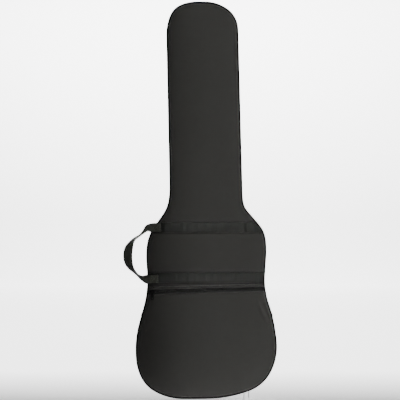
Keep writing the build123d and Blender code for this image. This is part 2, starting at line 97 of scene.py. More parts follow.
HANDLE_THICKNESS = 0.0023
STRAP_WEBBING_THICKNESS = 0.0016
TAB_THICKNESS = 0.0030
PATCH_INSET = 0.0040
TOWARDS_FRONT = (0.0, -1.0, 0.0)
TOWARDS_BACK = (0.0, 1.0, 0.0)
FLOOR_BEND = 1.6
WALL_HEIGHT = 7.0
CAMERA_DISTANCE = 6.0
CAMERA_SIDEWAYS = -0.0164
CAMERA_ABOVE_BOTTOM = 0.5255
SEEN_HEIGHT = 1.0555
SENSOR_MM = 36.0
SMOOTH_ANGLE = radians(35)


# ---- Sizes and colours a user would change -----------------------------------------
class GIGBAG_sizes(bpy.types.PropertyGroup):
    """Sizes of the soft goods, in metres."""

    front_fullness: bpy.props.FloatProperty(
        name="Front fullness", description="How far the front panel swells past its seam",
        default=0.0062, min=0.0, max=0.012, unit="LENGTH")
    back_fullness: bpy.props.FloatProperty(
        name="Back fullness", description="How far the back panel swells past its seam",
        default=0.0035, min=0.0, max=0.01, unit="LENGTH")
    pocket_fullness: bpy.props.FloatProperty(
        name="Pocket fullness", description="How far the pocket's face swells past its zip",
        default=0.0050, min=0.0, max=0.01, unit="LENGTH")
    pucker: bpy.props.FloatProperty(
        name="Seam pucker", description="Height of the small puckers along the seams",
        default=0.0006, min=0.0, max=0.003, unit="LENGTH")
    piping_radius: bpy.props.FloatProperty(
        name="Piping radius", description="Radius of the bead in the seams",
        default=0.0021, min=0.001, max=0.004, unit="LENGTH")
    stitch_length: bpy.props.FloatProperty(
        name="Stitch length", description="Length of one visible stitch",
        default=0.0034, min=0.001, max=0.008, unit="LENGTH")
    stitch_gap: bpy.props.FloatProperty(
        name="Stitch gap", description="Space between two stitches",
        default=0.0012, min=0.0002, max=0.004, unit="LENGTH")
    thread: bpy.props.FloatProperty(
        name="Thread", description="Thickness of the sewing thread",
        default=0.0007, min=0.0002, max=0.002, unit="LENGTH")
    tooth_pitch: bpy.props.FloatProperty(
        name="Tooth pitch", description="Distance from one zip tooth to the next",
        default=0.0017, min=0.001, max=0.004, unit="LENGTH")
    band_wave: bpy.props.FloatProperty(
        name="Band wave", description="How far the bands ripple between their stitches",
        default=0.0024, min=0.0, max=0.004, unit="LENGTH")


class GIGBAG_colours(bpy.types.PropertyGroup):
    """Colours of the fabrics and fittings."""

    shell: bpy.props.FloatVectorProperty(
        name="Shell", description="Woven polyester of the panels", subtype="COLOR",
        default=(0.0330, 0.0320, 0.0295), min=0, max=1)
    gusset: bpy.props.FloatVectorProperty(
        name="Gusset", description="Woven polyester of the sides", subtype="COLOR",
        default=(0.0260, 0.0255, 0.0240), min=0, max=1)
    webbing: bpy.props.FloatVectorProperty(
        name="Webbing", description="Bands, handle and straps", subtype="COLOR",
        default=(0.0120, 0.0128, 0.0100), min=0, max=1)
    piping: bpy.props.FloatVectorProperty(
        name="Piping", description="Bead in the seams", subtype="COLOR",
        default=(0.0035, 0.0035, 0.0035), min=0, max=1)
    lining: bpy.props.FloatVectorProperty(
        name="Lining", description="Thin fabric inside the bag", subtype="COLOR",
        default=(0.0420, 0.0430, 0.0450), min=0, max=1)
    tape: bpy.props.FloatVectorProperty(
        name="Zip tape", description="Woven tape of the zips", subtype="COLOR",
        default=(0.0150, 0.0150, 0.0140), min=0, max=1)
    # Thread colour set lighter than the fabric: the thread's own colour, and also a painted highlight,
    # since the light rows on the pocket welt stand in for its fold edges' highlights.
    thread: bpy.props.FloatVectorProperty(
        name="Thread", description="Sewing thread", subtype="COLOR",
        default=(0.0850, 0.0840, 0.0760), min=0, max=1)
    metal: bpy.props.FloatVectorProperty(
        name="Grey metal", description="Sliders and pulls of the main zip", subtype="COLOR",
        default=(0.2300, 0.2250, 0.2150), min=0, max=1)
    plastic: bpy.props.FloatVectorProperty(
        name="Buckle plastic", description="Strap adjusters", subtype="COLOR",
        default=(0.0120, 0.0120, 0.0125), min=0, max=1)


def sizes():
    """The sizes in use."""
    return bpy.context.scene.gigbag_sizes


def colours():
    """The colours in use."""
    return bpy.context.scene.gigbag_colours


# ---- Materials ---------------------------------------------------------------------
class Recipe:
    """A material being mixed, with short ways to add and join its nodes."""

    def __init__(self, name, roughness, sheen=0.0, metallic=0.0, specular=0.4):
        self.material = bpy.data.materials.new(name)
        self.material.use_nodes = True
        self.nodes = self.material.node_tree.nodes
        self.links = self.material.node_tree.links
        self.shader = self.nodes["Principled BSDF"]
        self.shader.inputs["Roughness"].default_value = roughness
        self.shader.inputs["Metallic"].default_value = metallic
        self.shader.inputs["Sheen Weight"].default_value = sheen
        self.shader.inputs["Sheen Roughness"].default_value = 0.45
        self.shader.inputs["Specular IOR Level"].default_value = specular

    def add(self, kind, **values):
        """A node; values named like its inputs are set or linked, the rest are its settings."""
        node = self.nodes.new(kind)
        for key, value in values.items():
            socket = node.inputs.get(key.replace("_", " ").title()) if key[0].islower() else None
            if socket is None:
                setattr(node, key.lower(), value)
            else:
                self.join(value, socket)
        return node

    def join(self, value, socket):
        """Link another node's output to a socket, or set a plain value there."""
        if hasattr(value, "is_output"):
            self.links.new(value, socket)
        else:
            socket.default_value = value

    def math(self, operation, a, b=0.0):
        """The output of one sum."""
        node = self.nodes.new("ShaderNodeMath")
        node.operation = operation
        for socket, value in zip(node.inputs, (a, b)):
            self.join(value, socket)
        return node.outputs[0]

    def blend_colours(self, share, first, second):
        """A colour between two, by a share from 0 to 1."""
        node = self.nodes.new("ShaderNodeMix")
        node.data_type = "RGBA"
        self.links.new(share, node.inputs["Factor"])
        for socket, value in ((node.inputs[6], first), (node.inputs[7], second)):
            self.join(value if hasattr(value, "is_output") else (*value, 1.0), socket)
        return node.outputs[2]

    def as_share(self, wave):
        """A wave from -1 to 1 as a share from 0 to 1."""
        return self.math("ADD", self.math("MULTIPLY", wave, 0.5), 0.5)

    def coordinates(self, source):
        """The piece's own map, or its object coordinates."""
        if source == "UV":
            node = self.nodes.new("ShaderNodeUVMap")
            node.uv_map = "cloth"
            return node.outputs[0]
        return self.nodes.new("ShaderNodeTexCoord").outputs["Object"]

    def noise(self, where, scale, detail=3.0):
        """Smooth noise from 0 to 1."""
        node = self.add("ShaderNodeTexNoise", vector=where, scale=scale, detail=detail)
        return node.outputs["Fac"]

    def finish(self, colour, height, bump, distance, rough=None):
        """Join colour, relief and roughness to the shader."""
        self.links.new(colour, self.shader.inputs["Base Color"])
        relief = self.nodes.new("ShaderNodeBump")
        relief.inputs["Strength"].default_value = bump
        relief.inputs["Distance"].default_value = distance
        self.links.new(height, relief.inputs["Height"])
        self.links.new(relief.outputs[0], self.shader.inputs["Normal"])
        if rough is not None:
            self.links.new(rough, self.shader.inputs["Roughness"])
        return self.material


def ranged(recipe, value, low, high):
    """A 0 to 1 value spread over another range."""
    node = recipe.add("ShaderNodeMapRange", value=value)
    node.inputs["To Min"].default_value = low
    node.inputs["To Max"].default_value = high
    return node.outputs[0]


def tone(colour, factor):
    """A lighter or darker colour."""
    return tuple(min(1.0, channel * factor) for channel in colour)


def woven(name, colour, pitch=0.0008, sheen=0.25, bump=0.35, roughness=0.78, source="UV",
          specular=0.3):
    """Plain weave: threads over and under, with slubs, faded patches and worn high spots."""
    recipe = Recipe(name, roughness, sheen, specular=specular)
    where = recipe.coordinates(source)
    parts = recipe.add("ShaderNodeSeparateXYZ", vector=where)
    second = parts.outputs[1] if source == "UV" else parts.outputs[2]
    turn = 2 * pi / pitch
    warp = recipe.math("SINE", recipe.math("MULTIPLY", parts.outputs[0], turn))
    weft = recipe.math("SINE", recipe.math("MULTIPLY", second, turn))
    cross = recipe.math("MULTIPLY", warp, weft)
    weave = recipe.as_share(cross)
    slub = recipe.noise(where, 900.0, 2.0)
    fade = recipe.noise(where, 14.0, 4.0)
    patch = recipe.noise(where, 90.0, 3.0)
    base = recipe.blend_colours(weave, tone(colour, 0.80), tone(colour, 1.12))
    aged = recipe.blend_colours(ranged(recipe, fade, 0.0, 0.55), base, tone(colour, 1.30))
    dusty = recipe.blend_colours(ranged(recipe, patch, 0.0, 0.35), aged, tone(colour, 0.72))
    height = recipe.math("ADD", weave, recipe.math("MULTIPLY", slub, 0.5))
    rough = ranged(recipe, fade, roughness - 0.08, roughness + 0.1)
    return recipe.finish(dusty, height, bump, 0.0004, rough)


def ribbed(name, colour, pitch=0.0021, half_width=0.0125, roughness=0.5, specular=0.3, hem=0.4):
    """Webbing: ribs across the strap, a herringbone grain and a darker strip along both edges."""
    yarn_pitch, hem_width, herringbone = 0.0011, 0.0016, 0.0026
    recipe = Recipe(name, roughness, sheen=0.03, specular=specular)
    where = recipe.coordinates("UV")
    parts = recipe.add("ShaderNodeSeparateXYZ", vector=where)
    along, across = parts.outputs[0], parts.outputs[1]
    zigzag = recipe.math("PINGPONG", across, herringbone)
    leaned = recipe.math("ADD", along, recipe.math("MULTIPLY", zigzag, 0.45))
    rib = recipe.as_share(recipe.math("SINE", recipe.math("MULTIPLY", leaned, 2 * pi / pitch)))
    yarn = recipe.as_share(recipe.math("SINE", recipe.math("MULTIPLY", across, 2 * pi / yarn_pitch)))
    edge = recipe.math("GREATER_THAN", recipe.math("ABSOLUTE", across), half_width - hem_width)
    fuzz = recipe.noise(where, 260.0, 3.0)
    fade = recipe.noise(where, 30.0, 3.0)
    base = recipe.blend_colours(rib, tone(colour, 0.62), tone(colour, 1.35))
    worn = recipe.blend_colours(ranged(recipe, fade, 0.0, 0.6), base, tone(colour, 1.7))
    bound = recipe.blend_colours(edge, worn, tone(colour, hem))
    height = recipe.math("ADD", rib, recipe.math("MULTIPLY", yarn, 0.35))
    height = recipe.math("ADD", height, recipe.math("MULTIPLY", fuzz, 0.3))
    rough = ranged(recipe, fuzz, roughness - 0.1, roughness + 0.14)
    return recipe.finish(bound, height, 0.55, 0.0007, rough)


def cast(name, colour, roughness, metallic=0.0, specular=0.5, grain=2200.0, bump=0.08):
    """Metal or moulded plastic: fine grain, rubbed patches and small scratches."""
    recipe = Recipe(name, roughness, metallic=metallic, specular=specular)
    where = recipe.coordinates("Object")
    speckle = recipe.noise(where, grain, 4.0)
    rubbed = recipe.noise(where, 160.0, 5.0)
    stretched = recipe.add("ShaderNodeMapping", vector=where)
    stretched.inputs["Scale"].default_value = (60.0, 900.0, 60.0)
    scratch = recipe.noise(stretched.outputs[0], 6.0, 2.0)
    base = recipe.blend_colours(ranged(recipe, rubbed, 0.0, 0.8), tone(colour, 0.8),
                                tone(colour, 1.35))
    height = recipe.math("ADD", speckle, recipe.math("MULTIPLY", scratch, 0.7))
    rough = ranged(recipe, rubbed, max(0.05, roughness - 0.12), roughness + 0.16)
    return recipe.finish(base, height, bump, 0.0003, rough)


def finishes():
    """Every finish of the bag, made once."""
    if "gigbag_shell" not in bpy.data.materials:
        c = colours()
        woven("gigbag_shell", c.shell)
        woven("gigbag_gusset", c.gusset)
        woven("gigbag_lining", c.lining, pitch=0.0005, sheen=0.1, bump=0.15, roughness=0.5,
              specular=0.5)
        woven("gigbag_binding", tone(c.gusset, 0.7), pitch=0.0011, bump=0.4)
        woven("gigbag_piping", c.piping, pitch=0.0007, sheen=0.0, bump=0.2, roughness=0.7,
              specular=0.12)
        for name, source in (("tape", "UV"), ("flat_tape", "Object")):
            woven("gigbag_" + name, c.tape, pitch=0.0006, sheen=0.1, bump=0.4, roughness=0.7,
                  source=source)
        woven("gigbag_thread", c.thread, pitch=0.0004, sheen=0.2, bump=0.3, roughness=0.55,
              source="Object")
        woven("gigbag_pad", tone(c.shell, 0.9), pitch=0.0014, sheen=0.3, bump=0.5, roughness=0.85)
        ribbed("gigbag_webbing", c.webbing)
        ribbed("gigbag_band", tone(c.webbing, 0.6), pitch=0.0024, half_width=0.015, roughness=0.36,
               specular=0.34)
        ribbed("gigbag_handle", tone(c.webbing, 4.0), hem=0.08)
        cast("gigbag_coil", tone(c.tape, 1.6), 0.4, grain=1500.0)
        cast("gigbag_grey_metal", c.metal, 0.36, metallic=1.0)
        cast("gigbag_black_metal", (0.003, 0.003, 0.003), 0.42, specular=0.25)
        cast("gigbag_plastic", c.plastic, 0.42, grain=1100.0, bump=0.16)
    return bpy.data.materials


def paint(piece, finish):
    """Give a piece one finish."""
    piece.data.materials.clear()
    piece.data.materials.append(finishes()["gigbag_" + finish])


# ---- The bag's outline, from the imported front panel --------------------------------
def run_of(path):
    """Distance walked along a path, at each of its points."""
    return np.r_[0, np.cumsum(np.linalg.norm(np.diff(path, axis=0), axis=1))]


def unit(vectors):
    """The same vectors with a length of one."""
    return vectors / np.linalg.norm(vectors, axis=1)[:, None]


def at_depth(places, y):
    """Places given as x and z, set at one y."""
    return np.c_[places[:, 0], np.full(len(places), y), places[:, 1]]


def set_at(places, y):
    """3D places moved to one y."""
    return [(place[0], y, place[2]) for place in places]


def straight(first, last, count):
    """Places at even steps from one to another."""
    first, last = np.array(first, float), np.array(last, float)
    return [first + (last - first) * share for share in np.linspace(0, 1, count)]


def joint_named(name):
    """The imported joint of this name."""
    return next(joint for joint in frame["joints"] if joint["name"] == name)


def vertices_of(node):
    """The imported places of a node's vertices."""
    return np.array([v.co for v in frame["nodes"][node].data.vertices], float)


def softened(values, passes=6):
    """Values evened out along their row, with both ends kept."""
    for _ in range(passes):
        values[1:-1] = (values[:-2] + 2 * values[1:-1] + values[2:]) / 4
    return values


def closed_blur(values, reach):
    """Smooth values round a loop."""
    steps = np.arange(-3 * reach, 3 * reach + 1)
    weights = np.exp(-0.5 * (steps / reach) ** 2)
    weights /= weights.sum()
    return sum(w * np.roll(values, -s, axis=0) for w, s in zip(weights, steps))


class Rim:
    """The seam round the bag, walked with its outside on the right, as x and z."""

    def __init__(self, node, count=860):
        mesh = bmesh.new()
        mesh.from_mesh(frame["nodes"][node].data)
        bmesh.ops.remove_doubles(mesh, verts=mesh.verts, dist=1e-5)
        after = {}
        for edge in mesh.edges:
            facing = sorted(abs(face.normal.y) for face in edge.link_faces)
            low_side = min(v.co.y for v in edge.verts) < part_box(node)[0].y + 1e-5
            if len(facing) == 2 and facing[0] < 0.1 and facing[1] > 0.9 and low_side:
                a, b = edge.verts
                after.setdefault(a.index, []).append(b.index)
                after.setdefault(b.index, []).append(a.index)
        mesh.verts.ensure_lookup_table()
        first = min(after, key=lambda i: (mesh.verts[i].co.z, abs(mesh.verts[i].co.x)))
        walk, last = [first], None
        while True:
            onward = [i for i in after[walk[-1]] if i != last]
            last = walk[-1]
            if onward[0] == first or len(walk) > len(after):
                break
            walk.append(onward[0])
        loop = np.array([(mesh.verts[i].co.x, mesh.verts[i].co.z) for i in walk])
        mesh.free()
        turn = np.roll(loop, -1, axis=0)
        if (loop[:, 0] * turn[:, 1] - turn[:, 0] * loop[:, 1]).sum() < 0:
            loop = loop[::-1]
        ends = np.vstack([loop, loop[:1]])
        run = run_of(ends)
        at = np.linspace(0, run[-1], count, endpoint=False)
        even = np.c_[np.interp(at, run, ends[:, 0]), np.interp(at, run, ends[:, 1])]
        self.points = closed_blur(even, 2)
        along = np.roll(self.points, -1, axis=0) - np.roll(self.points, 1, axis=0)
        along = unit(along)
        self.normals = unit(closed_blur(np.c_[along[:, 1], -along[:, 0]], 2))

    def depth(self, places):
        """Distance from each place to the seam."""
        a = self.points
        run = np.roll(a, -1, axis=0) - a
        best = np.full(len(places), 9.0)
        for start, step in zip(a, run):
            share = np.clip(((places - start) @ step) / (step @ step), 0, 1)
            gap = places - start - share[:, None] * step
            best = np.minimum(best, np.hypot(gap[:, 0], gap[:, 1]))
        return best

    def reach(self, height, inset=0.0):
        """Left and right x of the seam at one height."""
        places = self.points - self.normals * inset
        following = np.roll(places, -1, axis=0)
        crossing = (places[:, 1] - height) * (following[:, 1] - height) <= 0
        a, b = places[crossing], following[crossing]
        climb = b[:, 1] - a[:, 1]
        share = (height - a[:, 1]) / np.where(abs(climb) < 1e-9, 1e-9, climb)
        found = a[:, 0] + share * (b[:, 0] - a[:, 0])
        return found.min(), found.max()


RIM = Rim("front_shell")
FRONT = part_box("front_shell")[0].y
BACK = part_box("back_shell")[1].y
FRONT_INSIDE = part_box("front_lining")[1].y
BACK_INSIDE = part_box("back_lining")[0].y
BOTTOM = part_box("back_piping")[0].z
SPINE_LOW, SPINE_HIGH = (corner.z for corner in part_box("spine_gusset_back"))
SPINE_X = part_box("spine_gusset_back")[1].x


# ---- Mesh helpers ------------------------------------------------------------------
def new_piece(name, points, faces, finish, uvs=None):
    """A mesh object at the origin with its finish, its map and smooth faces."""
    mesh = bpy.data.meshes.new(name)
    mesh.from_pydata([tuple(map(float, p)) for p in points], [], faces)
    mesh.validate()
    if uvs is not None:
        layer = mesh.uv_layers.new(name="cloth")
        for loop in mesh.loops:
            layer.data[loop.index].uv = uvs[loop.vertex_index]
    piece = bpy.data.objects.new(name, mesh)
    bpy.context.scene.collection.objects.link(piece)
    mesh.shade_smooth()
    paint(piece, finish)
    return piece


def only(piece):
    """Select one piece alone."""
    bpy.ops.object.select_all(action="DESELECT")
    piece.select_set(True)
    bpy.context.view_layer.objects.active = piece


def outward(piece, merge=1e-6):
    """Merge doubles and turn the faces out."""
    mesh = bmesh.new()
    mesh.from_mesh(piece.data)
    bmesh.ops.remove_doubles(mesh, verts=mesh.verts, dist=merge)
    bmesh.ops.recalc_face_normals(mesh, faces=mesh.faces)
    mesh.to_mesh(piece.data)
    mesh.free()
    return piece


def tube_faces(count, sides, closed=False):
    """Faces of a tube of rings, joined end to end or capped."""
    faces = [(i * sides + j, i * sides + (j + 1) % sides,
              (i + 1) % count * sides + (j + 1) % sides, (i + 1) % count * sides + j)
             for i in range(count if closed else count - 1) for j in range(sides)]
    if not closed:
        faces += [tuple(range(sides))[::-1], tuple((count - 1) * sides + j for j in range(sides))]
    return faces


def sheet_faces(rows, columns):
    """Faces of a sheet with a front and a back grid of points, and the points of its hem."""
    base = rows * columns
    faces = []
    for r in range(rows - 1):
        for c in range(columns - 1):
            near, far = r * columns + c, (r + 1) * columns + c
            face = (near, near + 1, far + 1, far)
            faces += [face, tuple(base + i for i in face[::-1])]
    hem = list(range(columns)) + [r * columns + columns - 1 for r in range(1, rows)]
    hem += [(rows - 1) * columns + c for c in range(columns - 2, -1, -1)]
    hem += [r * columns for r in range(rows - 2, 0, -1)]
    faces += [(a, base + a, base + b, b) for a, b in zip(hem, hem[1:] + hem[:1])]
    return faces, hem


def swept(name, path, normals, profile, finish, closed=True):
    """A profile of (offset, y) points carried along a path in x and z."""
    profile = np.array(profile, float)
    run, across = run_of(path), run_of(profile)
    points, uvs = [], []
    for place, normal, travel in zip(path, normals, run):
        for (offset, y), around in zip(profile, across):
            x, z = place + normal * offset
            points.append((x, y, z))
            uvs.append((travel, around))
    faces = tube_faces(len(path), len(profile), closed)
    return outward(new_piece(name, points, faces, finish, uvs))


def round_profile(offset, y, radius, sides=10):
    """A round bead's profile."""
    turns = np.linspace(0, 2 * pi, sides, endpoint=False)
    return [(offset + radius * np.cos(t), y + radius * np.sin(t)) for t in turns]


def copied(name, models, finish):
    """One mesh of many copies: each is the model's points, faces and their moved places."""
    points, faces = [], []
    for places, sides in models:
        base = len(points)
        points.extend(places)
        faces.extend(tuple(base + i for i in side) for side in sides)
    return new_piece(name, points, faces, finish)


STITCH_FACES = (
    [(0, 1, 5, 4), (1, 2, 6, 5), (2, 3, 7, 6), (3, 0, 4, 7), (3, 2, 1, 0), (4, 5, 6, 7)])


def stitches(name, path, normals, body, finish="thread"):
    """A row of stitches along 3D points, lying on the surface that has these normals."""
    path, normals = np.array(path, float), np.array(normals, float)
    run = run_of(path)
    s = sizes()
    pitch = s.stitch_length + s.stitch_gap
    count = max(1, int(run[-1] / pitch))
    models = []
    for i in range(count):
        start = i * run[-1] / count
        stop = start + s.stitch_length
        ends = [np.array([np.interp(at, run, path[:, k]) for k in range(3)]) for at in (start, stop)]
        up = np.array([np.interp((start + stop) / 2, run, normals[:, k]) for k in range(3)])
        up /= np.linalg.norm(up)
        way = ends[1] - ends[0]
        length = np.linalg.norm(way)
        if length < 1e-6:
            continue
        side = np.cross(up, way / length)
        places = []
        for end, sign in ((ends[0], 1), (ends[1], -1)):
            inner = end + sign * way * 0.12
            for w, h, shift in ((-.5, -.4, 0), (.5, -.4, 0), (.38, .55, 1), (-.38, .55, 1)):
                at = inner if shift else end
                places.append(at + (side * w + up * h) * s.thread)
        models.append((places, STITCH_FACES))
    piece = copied(name, models, finish)
    outward(piece, 1e-7)
    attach(piece, body)
    return piece


# ---- Panels ------------------------------------------------------------------------
def panel_net(inset=0.0, rings=22, step=0.0045):
    """Places of a panel's net: loops that follow the seam, closing on the bag's middle line."""
    low = RIM.points[:, 1].min() + 0.170
    high = RIM.points[:, 1].max() - 0.088
    levels = np.linspace(low, high, int((high - low) / step))
    sides = np.array([RIM.reach(h, inset) for h in levels])
    middle = np.c_[sides.mean(axis=1), levels]
    right = np.c_[sides[:, 1], levels]
    left = np.c_[sides[:, 0], levels]
    shifted = RIM.points - RIM.normals * inset
    top = shifted[(shifted[:, 1] > high + 0.001)]
    bottom = shifted[(shifted[:, 1] < low - 0.001)]
    top = top[np.argsort(-np.arctan2(top[:, 1] - high, top[:, 0] - middle[-1, 0]))][::-1]
    bottom = bottom[np.argsort(np.arctan2(bottom[:, 1] - low, bottom[:, 0] - middle[0, 0]))]
    rim = np.vstack([right, top[::2], left[::-1], bottom[::2]])
    core = np.vstack([middle, np.repeat(middle[-1:], len(top[::2]), 0), middle[::-1],
                      np.repeat(middle[:1], len(bottom[::2]), 0)])
    shares = (np.arange(rings + 1) / rings) ** 1.7
    return np.array([rim + (core - rim) * u for u in shares])


def pucker_at(x, z, depth, amount, seed):
    """Small ripples square to the seam that die away inside, and broad soft dents."""
    near = np.exp(-depth / 0.020)
    ripple = np.array([noise(Vector((a * 38, seed, b * 38))) for a, b in zip(x, z)])
    broad = np.array([noise(Vector((a * 7, seed + 5, b * 7))) for a, b in zip(x, z)])
    inside = 1 - np.exp(-depth / 0.010)
    return inside * (amount * (0.35 + 1.6 * near) * ripple + amount * 4.5 * broad)


def anchor_crease(x, z):
    """The pull lines that run in from the strap's tab in the right seam."""
    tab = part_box("strap_right_side_tab")
    height = (tab[0].z + tab[1].z) / 2
    edge = RIM.reach(height)[1]
    way = np.array((-0.42, 0.91))
    rel = np.c_[x - edge + 0.004, z - height + 0.010]
    along = rel @ way
    across = rel @ np.array((way[1], -way[0]))
    reach = np.exp(-((along - 0.024) / 0.030) ** 2)
    fold = np.exp(-(across / 0.0035) ** 2) - 0.7 * np.exp(-((across + 0.009) / 0.005) ** 2)
    return -0.0022 * reach * fold


def front_swell(z, depth):
    """How far the front panel stands proud of its seam."""
    full = sizes().front_fullness
    swell = full * (0.42 * (1 - np.exp(-depth / 0.007)) + 0.58 * (1 - np.exp(-depth / 0.040)))
    for node in ("upper_band", "lower_band"):
        low, high = (corner.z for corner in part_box(node))
        pressed = np.exp(-(((z - (low + high) / 2) / 0.017) ** 4))
        swell -= 0.0016 * pressed * (1 - np.exp(-depth / 0.02))
    return swell


def net_piece(name, net, heights, finish, back=None):
    """A piece from a net of places and the y of each; with back it is closed to that y."""
    rows, columns = net.shape[:2]
    points = [(p[0], y, p[1]) for row, ys in zip(net, heights) for p, y in zip(row, ys)]
    uvs = [(p[0], p[1]) for row in net for p in row]
    faces = [(r * columns + c, r * columns + (c + 1) % columns,
              (r + 1) * columns + (c + 1) % columns, (r + 1) * columns + c)
             for r in range(rows - 1) for c in range(columns)]
    if back is not None:
        base = len(points)
        points += [(p[0], y, p[1]) for row, ys in zip(net, back) for p, y in zip(row, ys)]
        uvs += uvs[:base]
        faces += [tuple(base + i for i in face[::-1]) for face in faces]
        faces += [(c, base + c, base + (c + 1) % columns, (c + 1) % columns) for c in range(columns)]
    return outward(new_piece(name, points, faces, finish, uvs), 1e-5)


def front_heights(net):
    """The y of the front panel's face at every place of a net."""
    flat = net.reshape(-1, 2)
    depth = RIM.depth(flat)
    x, z = flat.T
    swell = front_swell(z, depth) + pucker_at(x, z, depth, sizes().pucker, 1.0)
    swell += anchor_crease(x, z) * 0.6
    return (FRONT + 0.0011 - swell).reshape(net.shape[:2])


class GIGBAG_OT_front_panel(bpy.types.Operator):
    """Padded front panel, swelling between its seams"""

    bl_idname = "gigbag.front_panel"
    bl_label = "Front panel"

    def execute(self, context):
        net = panel_net(PANEL_INSET)
        face = front_heights(net)
        inner = np.full(face.shape, FRONT_INSIDE - 0.0010)
        piece = net_piece("front_panel", net, face, "shell", inner)
        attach(piece, "front_half")
        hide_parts("front_shell", "front_foam")
        return {"FINISHED"}


class GIGBAG_OT_back_panel(bpy.types.Operator):
    """Padded back panel, swelling a little between its seams"""

    bl_idname = "gigbag.back_panel"
    bl_label = "Back panel"

    def execute(self, context):
        net = panel_net(PANEL_INSET)
        flat = net.reshape(-1, 2)
        depth = RIM.depth(flat)
        x, z = flat.T
        full = sizes().back_fullness
        swell = full * (0.5 * (1 - np.exp(-depth / 0.007)) + 0.5 * (1 - np.exp(-depth / 0.035)))
        swell += pucker_at(x, z, depth, sizes().pucker, 9.0)
        face = (BACK - 0.0011 + swell).reshape(net.shape[:2])
        inner = np.full(face.shape, BACK_INSIDE + 0.0010)
        piece = net_piece("back_panel", net, face, "shell", inner)
        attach(piece, "back_half")
        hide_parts("back_shell", "back_foam")
        return {"FINISHED"}


class GIGBAG_OT_linings(bpy.types.Operator):
    """Lining of both panels and both sides, with the binding over the inner seams"""

    bl_idname = "gigbag.linings"
    bl_label = "Linings"

    def execute(self, context):
        for half, inside, way in (("front", FRONT_INSIDE, -1), ("back", BACK_INSIDE, 1)):
            net = panel_net(SEAM_ALLOWANCE, rings=12, step=0.008)
            flat = net.reshape(-1, 2)
            depth = RIM.depth(flat)
            soft = abs(pucker_at(flat[:, 0], flat[:, 1], depth, 0.0005, 3.0 + way))
            face = (inside - way * (0.0001 + soft)).reshape(net.shape[:2])
            piece = net_piece(f"{half}_lining_sheet", net, face, "lining", face + way * 0.0008)
            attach(piece, half + "_half")
            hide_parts(half + "_lining")
            low, high = (corner.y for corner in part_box(half + "_gusset_foam"))
            zip_side, panel_side = (high, low) if half == "front" else (low, high)
            inward = 1 if half == "front" else -1
            lining = [(-0.0014, zip_side - inward * 0.0006), (-0.0034, zip_side),
                      (-0.0056, zip_side - inward * 0.0008), (-0.0062, zip_side - inward * 0.004),
                      (-0.0066, (zip_side + panel_side) / 2), (-0.0061, panel_side + inward * 0.0010),
                      (-0.0056, panel_side + inward * 0.0002), (-0.0014, panel_side + inward * 0.0002),
                      (-0.0013, (zip_side + panel_side) / 2)]
            side = swept(f"{half}_side_lining", RIM.points, RIM.normals, lining, "lining")
            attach(side, half + "_half")
            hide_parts(half + "_gusset_foam", half + "_gusset_lining")
            low, high = (corner.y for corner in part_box(half + "_seam_binding"))
            middle = (low + high) / 2
            bead = round_profile(-0.0075, middle, 0.0017, 10)
            binding = swept(f"{half}_inner_binding", RIM.points, RIM.normals, bead, "binding")
            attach(binding, half + "_half")
            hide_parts(half + "_seam_binding")
        return {"FINISHED"}


class GIGBAG_OT_piping(bpy.types.Operator):
    """Round piping in the front and back seams, with a row of stitches just inside it"""

    bl_idname = "gigbag.piping"
    bl_label = "Piping"

    def execute(self, context):
        radius = sizes().piping_radius
        for half, face, way in (("front", FRONT, 1), ("back", BACK, -1)):
            centre = face + way * PIPING_STAND_OFF
            bead = round_profile(PIPING_STAND_OFF, centre, radius, 12)
            piece = swept(f"{half}_bead", RIM.points, RIM.normals, bead, "piping")
            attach(piece, half + "_half")
            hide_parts(half + "_piping")
            self.seam_row(context, half, way)
        return {"FINISHED"}

    def seam_row(self, context, half, way):
        """The row of stitches just inside the piping, on whichever fabric is outermost."""
        cloths = ["front_panel", "pocket_face"] if half == "front" else ["back_panel"]
        graph = context.evaluated_depsgraph_get()
        trees = [BVHTree.FromObject(bpy.data.objects[name], graph) for name in cloths]
        bare = FRONT if way > 0 else -BACK
        row = []
        for x, z in RIM.points - RIM.normals * SEAM_STITCH_INSET:
            hits = [tree.ray_cast(Vector((x, -0.3 * way, z)), Vector((0, way, 0)))[0]
                    for tree in trees]
            outermost = min((hit.y * way for hit in hits if hit), default=bare)
            row.append((x, outermost * way, z))
        row.append(row[0])
        stitches(f"{half}_seam_stitches", row, [(0.0, -way, 0.0)] * len(row), half + "_half")


def away_from_spine(margin=0.0):
    """Indexes of the seam's points that have a zip, in walking order."""
    x, z = RIM.points.T
    spine = (x < SPINE_X) & (z > SPINE_LOW - margin) & (z < SPINE_HIGH + margin)
    count = len(x)
    start = next(i for i in range(count) if spine[i - 1] and not spine[i])
    order = [(start + k) % count for k in range(count)]
    return [i for i in order if not spine[i]], [i for i in order if spine[i]]


